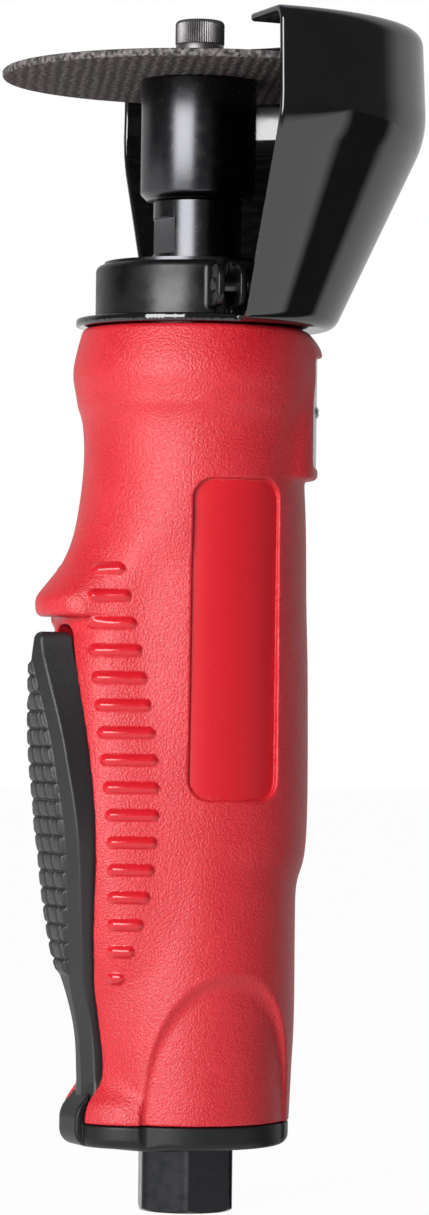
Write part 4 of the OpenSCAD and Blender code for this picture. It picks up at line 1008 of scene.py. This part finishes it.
def make_arbor():
    """Arbor that carries the disc on a pilot, bored for the spindle's stud and the screw."""
    low, high = span("wheel_arbor")
    disc_z = span("cutting_disc")[0][2]
    arbor_r, chamfer, edge, soft, top_round = high[0], 1.1, 0.25, 0.1, 0.35
    pilot_r, screw_r, stud_r, stud_h = 4.75, 3.15, 4.05, 11.0
    rows = [(stud_r, low[2]), (arbor_r - chamfer - edge, low[2]), (arbor_r - chamfer, low[2] + soft)]
    rows += [(arbor_r - soft, low[2] + chamfer), (arbor_r, low[2] + chamfer + edge)]
    rows += bevelled(arbor_r, disc_z, top_round, 1)
    rows += [(pilot_r, disc_z), (pilot_r, high[2] - edge), (pilot_r - edge, high[2])]
    rows += [(screw_r, high[2]), (screw_r, low[2] + stud_h), (stud_r, low[2] + stud_h)]
    return turned("arbor_turning", rows, full_turn(160))


dress(make_arbor(), "spindle", "black_oxide_steel", "wheel_arbor")


def make_disc():
    """Cutting disc with a slightly ragged rim."""
    low, high = span("cutting_disc")
    count, rings = 360, 24
    disc_r, bore_r, bore_edge, rim_w, rim, skin = high[0], 4.8, 0.3, 1.2, 0.25, 0.02
    rag, unevenness = 0.16, 0.05
    ragged = disc_r - rag * rng.random(count)
    ragged = (ragged + np.roll(ragged, 1)) / 2
    middle = (low[2] + high[2]) / 2
    radii = np.linspace(bore_r + bore_edge, disc_r - rim_w, rings)
    wave = [unevenness * rng.random(count) for _ in radii]
    rows = [(bore_r, middle)]
    rows += [(r, low[2] + lift) for r, lift in zip(radii, wave)]
    rows += [(ragged - rim, low[2] + skin), (ragged, low[2] + rim), (ragged, middle)]
    rows += [(ragged, high[2] - rim), (ragged - rim, high[2] - skin)]
    rows += [(r, high[2] - lift) for r, lift in zip(radii[::-1], wave)]
    return turned("disc_abrasive", rows, full_turn(count))


dress(make_disc(), "spindle", "abrasive", "cutting_disc")


def make_flange():
    """Washer-like flange over the disc."""
    low, high = span("outer_flange")
    bore_r, edge, top_round = 3.3, 0.3, 0.6
    rows = [(bore_r, low[2])] + bevelled(high[0], low[2], edge, -1)
    rows += bevelled(high[0], high[2], top_round, 1)
    rows += [(bore_r + edge, high[2]), (bore_r, high[2] - edge)]
    return turned("outer_flange_turning", rows, full_turn(128))


dress(make_flange(), "spindle", "black_oxide_steel", "outer_flange")


def make_disc_screw():
    """Socket-head screw with a straight knurl above a plain band."""
    low, high = span("disc_screw")
    head_z = span("lock_washer")[1][2]
    flutes, per_flute, knurl_h = 66, 6, 0.16
    head_r, shank_r, round_top, foot_round = high[0], 3.1, 0.9, 0.3
    band_r, band_h, groove, knurl_start = head_r - 0.12, 1.5, 0.2, 0.15
    socket_af, socket_h, edge = 5.0, 3.1, 0.25
    angles = full_turn(flutes * per_flute)
    knurl = head_r - knurl_h * (0.5 + 0.5 * np.cos(flutes * angles))
    socket = hexagon(angles, socket_af, 0.0)
    rows = [(shank_r, low[2]), (shank_r, head_z)] + bevelled(band_r, head_z, foot_round, -1)
    rows += [(band_r, head_z + band_h - groove), (head_r - groove, head_z + band_h)]
    rows += [(knurl, head_z + band_h + knurl_start), (knurl, high[2] - round_top)]
    for t in np.linspace(0.2, math.pi / 2, 5):
        inset = round_top * (1 - math.cos(t))
        flat_share = 1 - t / (math.pi / 2)
        top_r = head_r - inset - (head_r - knurl) * flat_share
        rows.append((top_r, high[2] - round_top * (1 - math.sin(t))))
    rows += [(socket + edge, high[2]), (socket, high[2] - edge), (socket, high[2] - socket_h)]
    return turned("disc_screw_head", rows, angles, ring=False)


dress(make_disc_screw(), "spindle", "black_oxide_steel", "disc_screw", look="knurled_oxide")


def make_clamp_screw():
    """Small socket-head screw across the clamp's lugs."""
    angles = full_turn(72)
    far = SPLIT_HALF + SHEET_T
    shank_r, head_r, head_h, socket_corners = 1.5, 2.6, 2.4, 3.0
    tip, foot_round, top_round, edge = 0.3, 0.2, 0.4, 0.15
    socket = hexagon(angles, socket_corners * math.cos(math.pi / 6), 0.0)
    rows = [(shank_r - tip, -far - tip), (shank_r, -far), (shank_r, far)]
    rows += bevelled(head_r, far, foot_round, -1) + bevelled(head_r, far + head_h, top_round, 1)
    rows += [(socket + edge, far + head_h), (socket, far + head_h - edge), (socket, far + head_h / 2)]
    screw = turned("clamp_screw_head", rows, angles, ring=False)
    place = Matrix.Rotation(SPLIT_A, 4, "Z") @ Matrix.Translation(Vector((CLAMP_U, 0, Z_CLAMP)) / MM)
    screw.data.transform(place @ Matrix.Rotation(-math.pi / 2, 4, "X"))
    return screw


dress(make_clamp_screw(), "guard", "black_oxide_steel", "clamp_screw")


def make_spring():
    """Throttle spring: a coil across the grip, built at a single length; the real one shortens as the valve stem
    comes in.
    """
    low, high = span("valve_spring")
    wire_r, turns, sides, steps = 0.35, 5, 10, 200
    coil_r = (high[2] - low[2]) / 2 - wire_r
    along = np.linspace(0, 1, steps)[:, None]
    round_wire = full_turn(sides)
    reach = coil_r + wire_r * np.cos(round_wire)
    x = low[0] + wire_r + (high[0] - low[0] - 2 * wire_r) * along + wire_r * np.sin(round_wire)
    turn = 2 * math.pi * turns * along
    y = reach * np.cos(turn)
    z = Z_VALVE + reach * np.sin(turn)
    # The points go round the wire the other way, so each face is turned over about its first corner
    faces = [face[:1] + face[:0:-1] for face in row_faces(steps, sides, ring=False)]
    made = mesh_object("valve_spring_coil", np.stack([x, y, z], axis=2).reshape(-1, 3), faces)
    dress(made, "grip", "hard_steel", "valve_spring")
    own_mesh(made)


make_spring()

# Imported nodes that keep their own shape
for subpart in frame["record"]["subparts"]:
    kept = frame["nodes"][subpart["node"]]
    kept.data.materials.clear()
    kept.data.materials.append(MATERIALS[subpart["material_slot"]])

# Camera at the photograph's place, with three values in the photograph's own pixels
PHOTO_H = 1215
FOCAL_PX = 4696.0
OFFSET_PX = 22
CAMERA_AZIMUTH = math.radians(-25)
CAMERA_DISTANCE = 907.0
CAMERA_HEIGHT = 103.0
CAMERA_PITCH = math.radians(0.82)
CAMERA_ROLL = math.radians(0.75)
CAMERA_YAW = math.atan(OFFSET_PX / FOCAL_PX)

toward_camera = Vector((math.sin(CAMERA_AZIMUTH), -math.cos(CAMERA_AZIMUTH), 0))
image_right = Vector((math.cos(CAMERA_AZIMUTH), math.sin(CAMERA_AZIMUTH), 0))
world_up = Vector((0, 0, 1))


def add_camera():
    """Camera that looks at the tool, turned aside a little and tilted as the photograph is."""
    data = bpy.data.cameras.new("camera")
    data.sensor_fit = "VERTICAL"
    data.sensor_height = 36.0
    data.lens = data.sensor_height * FOCAL_PX / PHOTO_H
    data.clip_start = 0.01
    made = new_object("camera", data)
    ahead = -toward_camera * math.cos(CAMERA_YAW) + image_right * math.sin(CAMERA_YAW)
    right = image_right * math.cos(CAMERA_YAW) + toward_camera * math.sin(CAMERA_YAW)
    look = ahead * math.cos(CAMERA_PITCH) + world_up * math.sin(CAMERA_PITCH)
    up = right.cross(look)
    tilted_right = right * math.cos(CAMERA_ROLL) + up * math.sin(CAMERA_ROLL)
    tilted_up = up * math.cos(CAMERA_ROLL) - right * math.sin(CAMERA_ROLL)
    turn = Matrix((tilted_right, tilted_up, -look)).transposed().to_4x4()
    place = (toward_camera * CAMERA_DISTANCE + world_up * CAMERA_HEIGHT) / MM
    made.matrix_world = Matrix.Translation(place) @ turn
    bpy.context.scene.camera = made


add_camera()


# Light, in metres: one soft box in front on the left, aimed at the tool's middle, and a white backdrop
TARGET_H = 0.115


def add_softbox(name, angle_deg, distance, height, size, watts):
    """Area lamp at an angle to the right of the camera, facing the tool."""
    a = math.radians(angle_deg)
    data = bpy.data.lights.new(name, "AREA")
    data.shape = "RECTANGLE"
    data.size, data.size_y = size
    data.energy = watts
    made = new_object(name, data)
    target = Vector((0, 0, TARGET_H))
    place = (toward_camera * math.cos(a) + image_right * math.sin(a)) * distance
    made.location = place + Vector((0, 0, height))
    made.rotation_euler = (target - made.location).to_track_quat("-Z", "Y").to_euler()


add_softbox("key_softbox", angle_deg=-30, distance=1.1, height=0.24, size=(0.75, 0.80), watts=16.5)


def add_world():
    """White for the camera, and otherwise a dim room with a bright backdrop behind the tool."""
    back_start, back_stop, room_level, back_level = 0.30, 0.55, 0.10, 0.6
    world = bpy.data.worlds.new("studio")
    bpy.context.scene.world = world
    world.use_nodes = True
    tree = world.node_tree
    tree.nodes.clear()
    away = reach_along(tree, add(tree, "ShaderNodeTexCoord").outputs["Generated"], -toward_camera)
    behind = ranged(tree, away, back_start, back_stop, room_level, back_level)
    studio = add(tree, "ShaderNodeBackground", {"Color": (1, 1, 1, 1), "Strength": behind})
    white = add(tree, "ShaderNodeBackground", {"Color": (1, 1, 1, 1), "Strength": 1.0})
    seen = add(tree, "ShaderNodeLightPath").outputs["Is Camera Ray"]
    mixed = add(tree, "ShaderNodeMixShader", {0: seen, 1: studio.outputs[0], 2: white.outputs[0]})
    add(tree, "ShaderNodeOutputWorld", {"Surface": mixed.outputs[0]})


add_world()


def add_floor():
    """Pale floor that keeps the tool's shadow and shows as white to the camera. To glossy rays it glows with a
    painted reflection: a white sheet with a dark gap on the right, before the backdrop."""
    half, speck_mm, glow_share = 3.0, 40.0, 0.97
    # Levels and bearings of the painted reflection: a dark gap after the white sheet, a grey wall beyond it, and a
    # dark front
    painted_gap_level, painted_wall_level, painted_front_level = 0.04, 0.65, 0.08
    painted_sheet_bearings = (math.radians(77), math.radians(84))
    painted_wall_bearings = (math.radians(110), math.radians(118))
    painted_front_reach = (0.34, 0.55)
    corners = [(-half, -half), (half, -half), (half, half), (-half, half)]
    made = mesh_object("floor", np.array([(x, y, cad_low[2]) for x, y in corners]) * MM, [(0, 1, 2, 3)])
    material, tree, shader = new_material("floor", Roughness=0.9)
    colour = blend_colour(tree, noise(tree, speck_mm), (0.80, 0.80, 0.80), (0.82, 0.82, 0.82))
    tree.links.new(colour, shader.inputs["Base Color"])
    place = object_place(tree)
    nearer = reach_along(tree, place, toward_camera)
    bearing = calc(tree, "ARCTAN2", reach_along(tree, place, image_right), nearer)
    # Painted reflection, seen by glossy rays only: white sheet, dark gap on the right, grey wall before the
    # backdrop, dark far in front
    painted_sheet_end = ranged(tree, bearing, *painted_sheet_bearings, 1.0, painted_gap_level)
    painted_wall_rise = ranged(tree, bearing, *painted_wall_bearings, painted_gap_level, painted_wall_level)
    front_end = ranged(tree, nearer, *painted_front_reach, 1.0, painted_front_level)
    sheet = calc(tree, "MINIMUM", calc(tree, "MAXIMUM", painted_sheet_end, painted_wall_rise), front_end)
    path = add(tree, "ShaderNodeLightPath").outputs
    level = calc(tree, "MAXIMUM", path["Is Camera Ray"], sheet)
    glow = add(tree, "ShaderNodeEmission", {"Strength": level})
    seen = calc(tree, "MAXIMUM", path["Is Camera Ray"], path["Is Glossy Ray"])
    share = calc(tree, "MULTIPLY", seen, glow_share)
    mixed = add(tree, "ShaderNodeMixShader", {0: share, 1: shader.outputs[0], 2: glow.outputs[0]})
    tree.links.new(mixed.outputs[0], tree.nodes["Material Output"].inputs["Surface"])
    made.data.materials.append(material)


add_floor()
bpy.context.scene.view_settings.view_transform = "Standard"
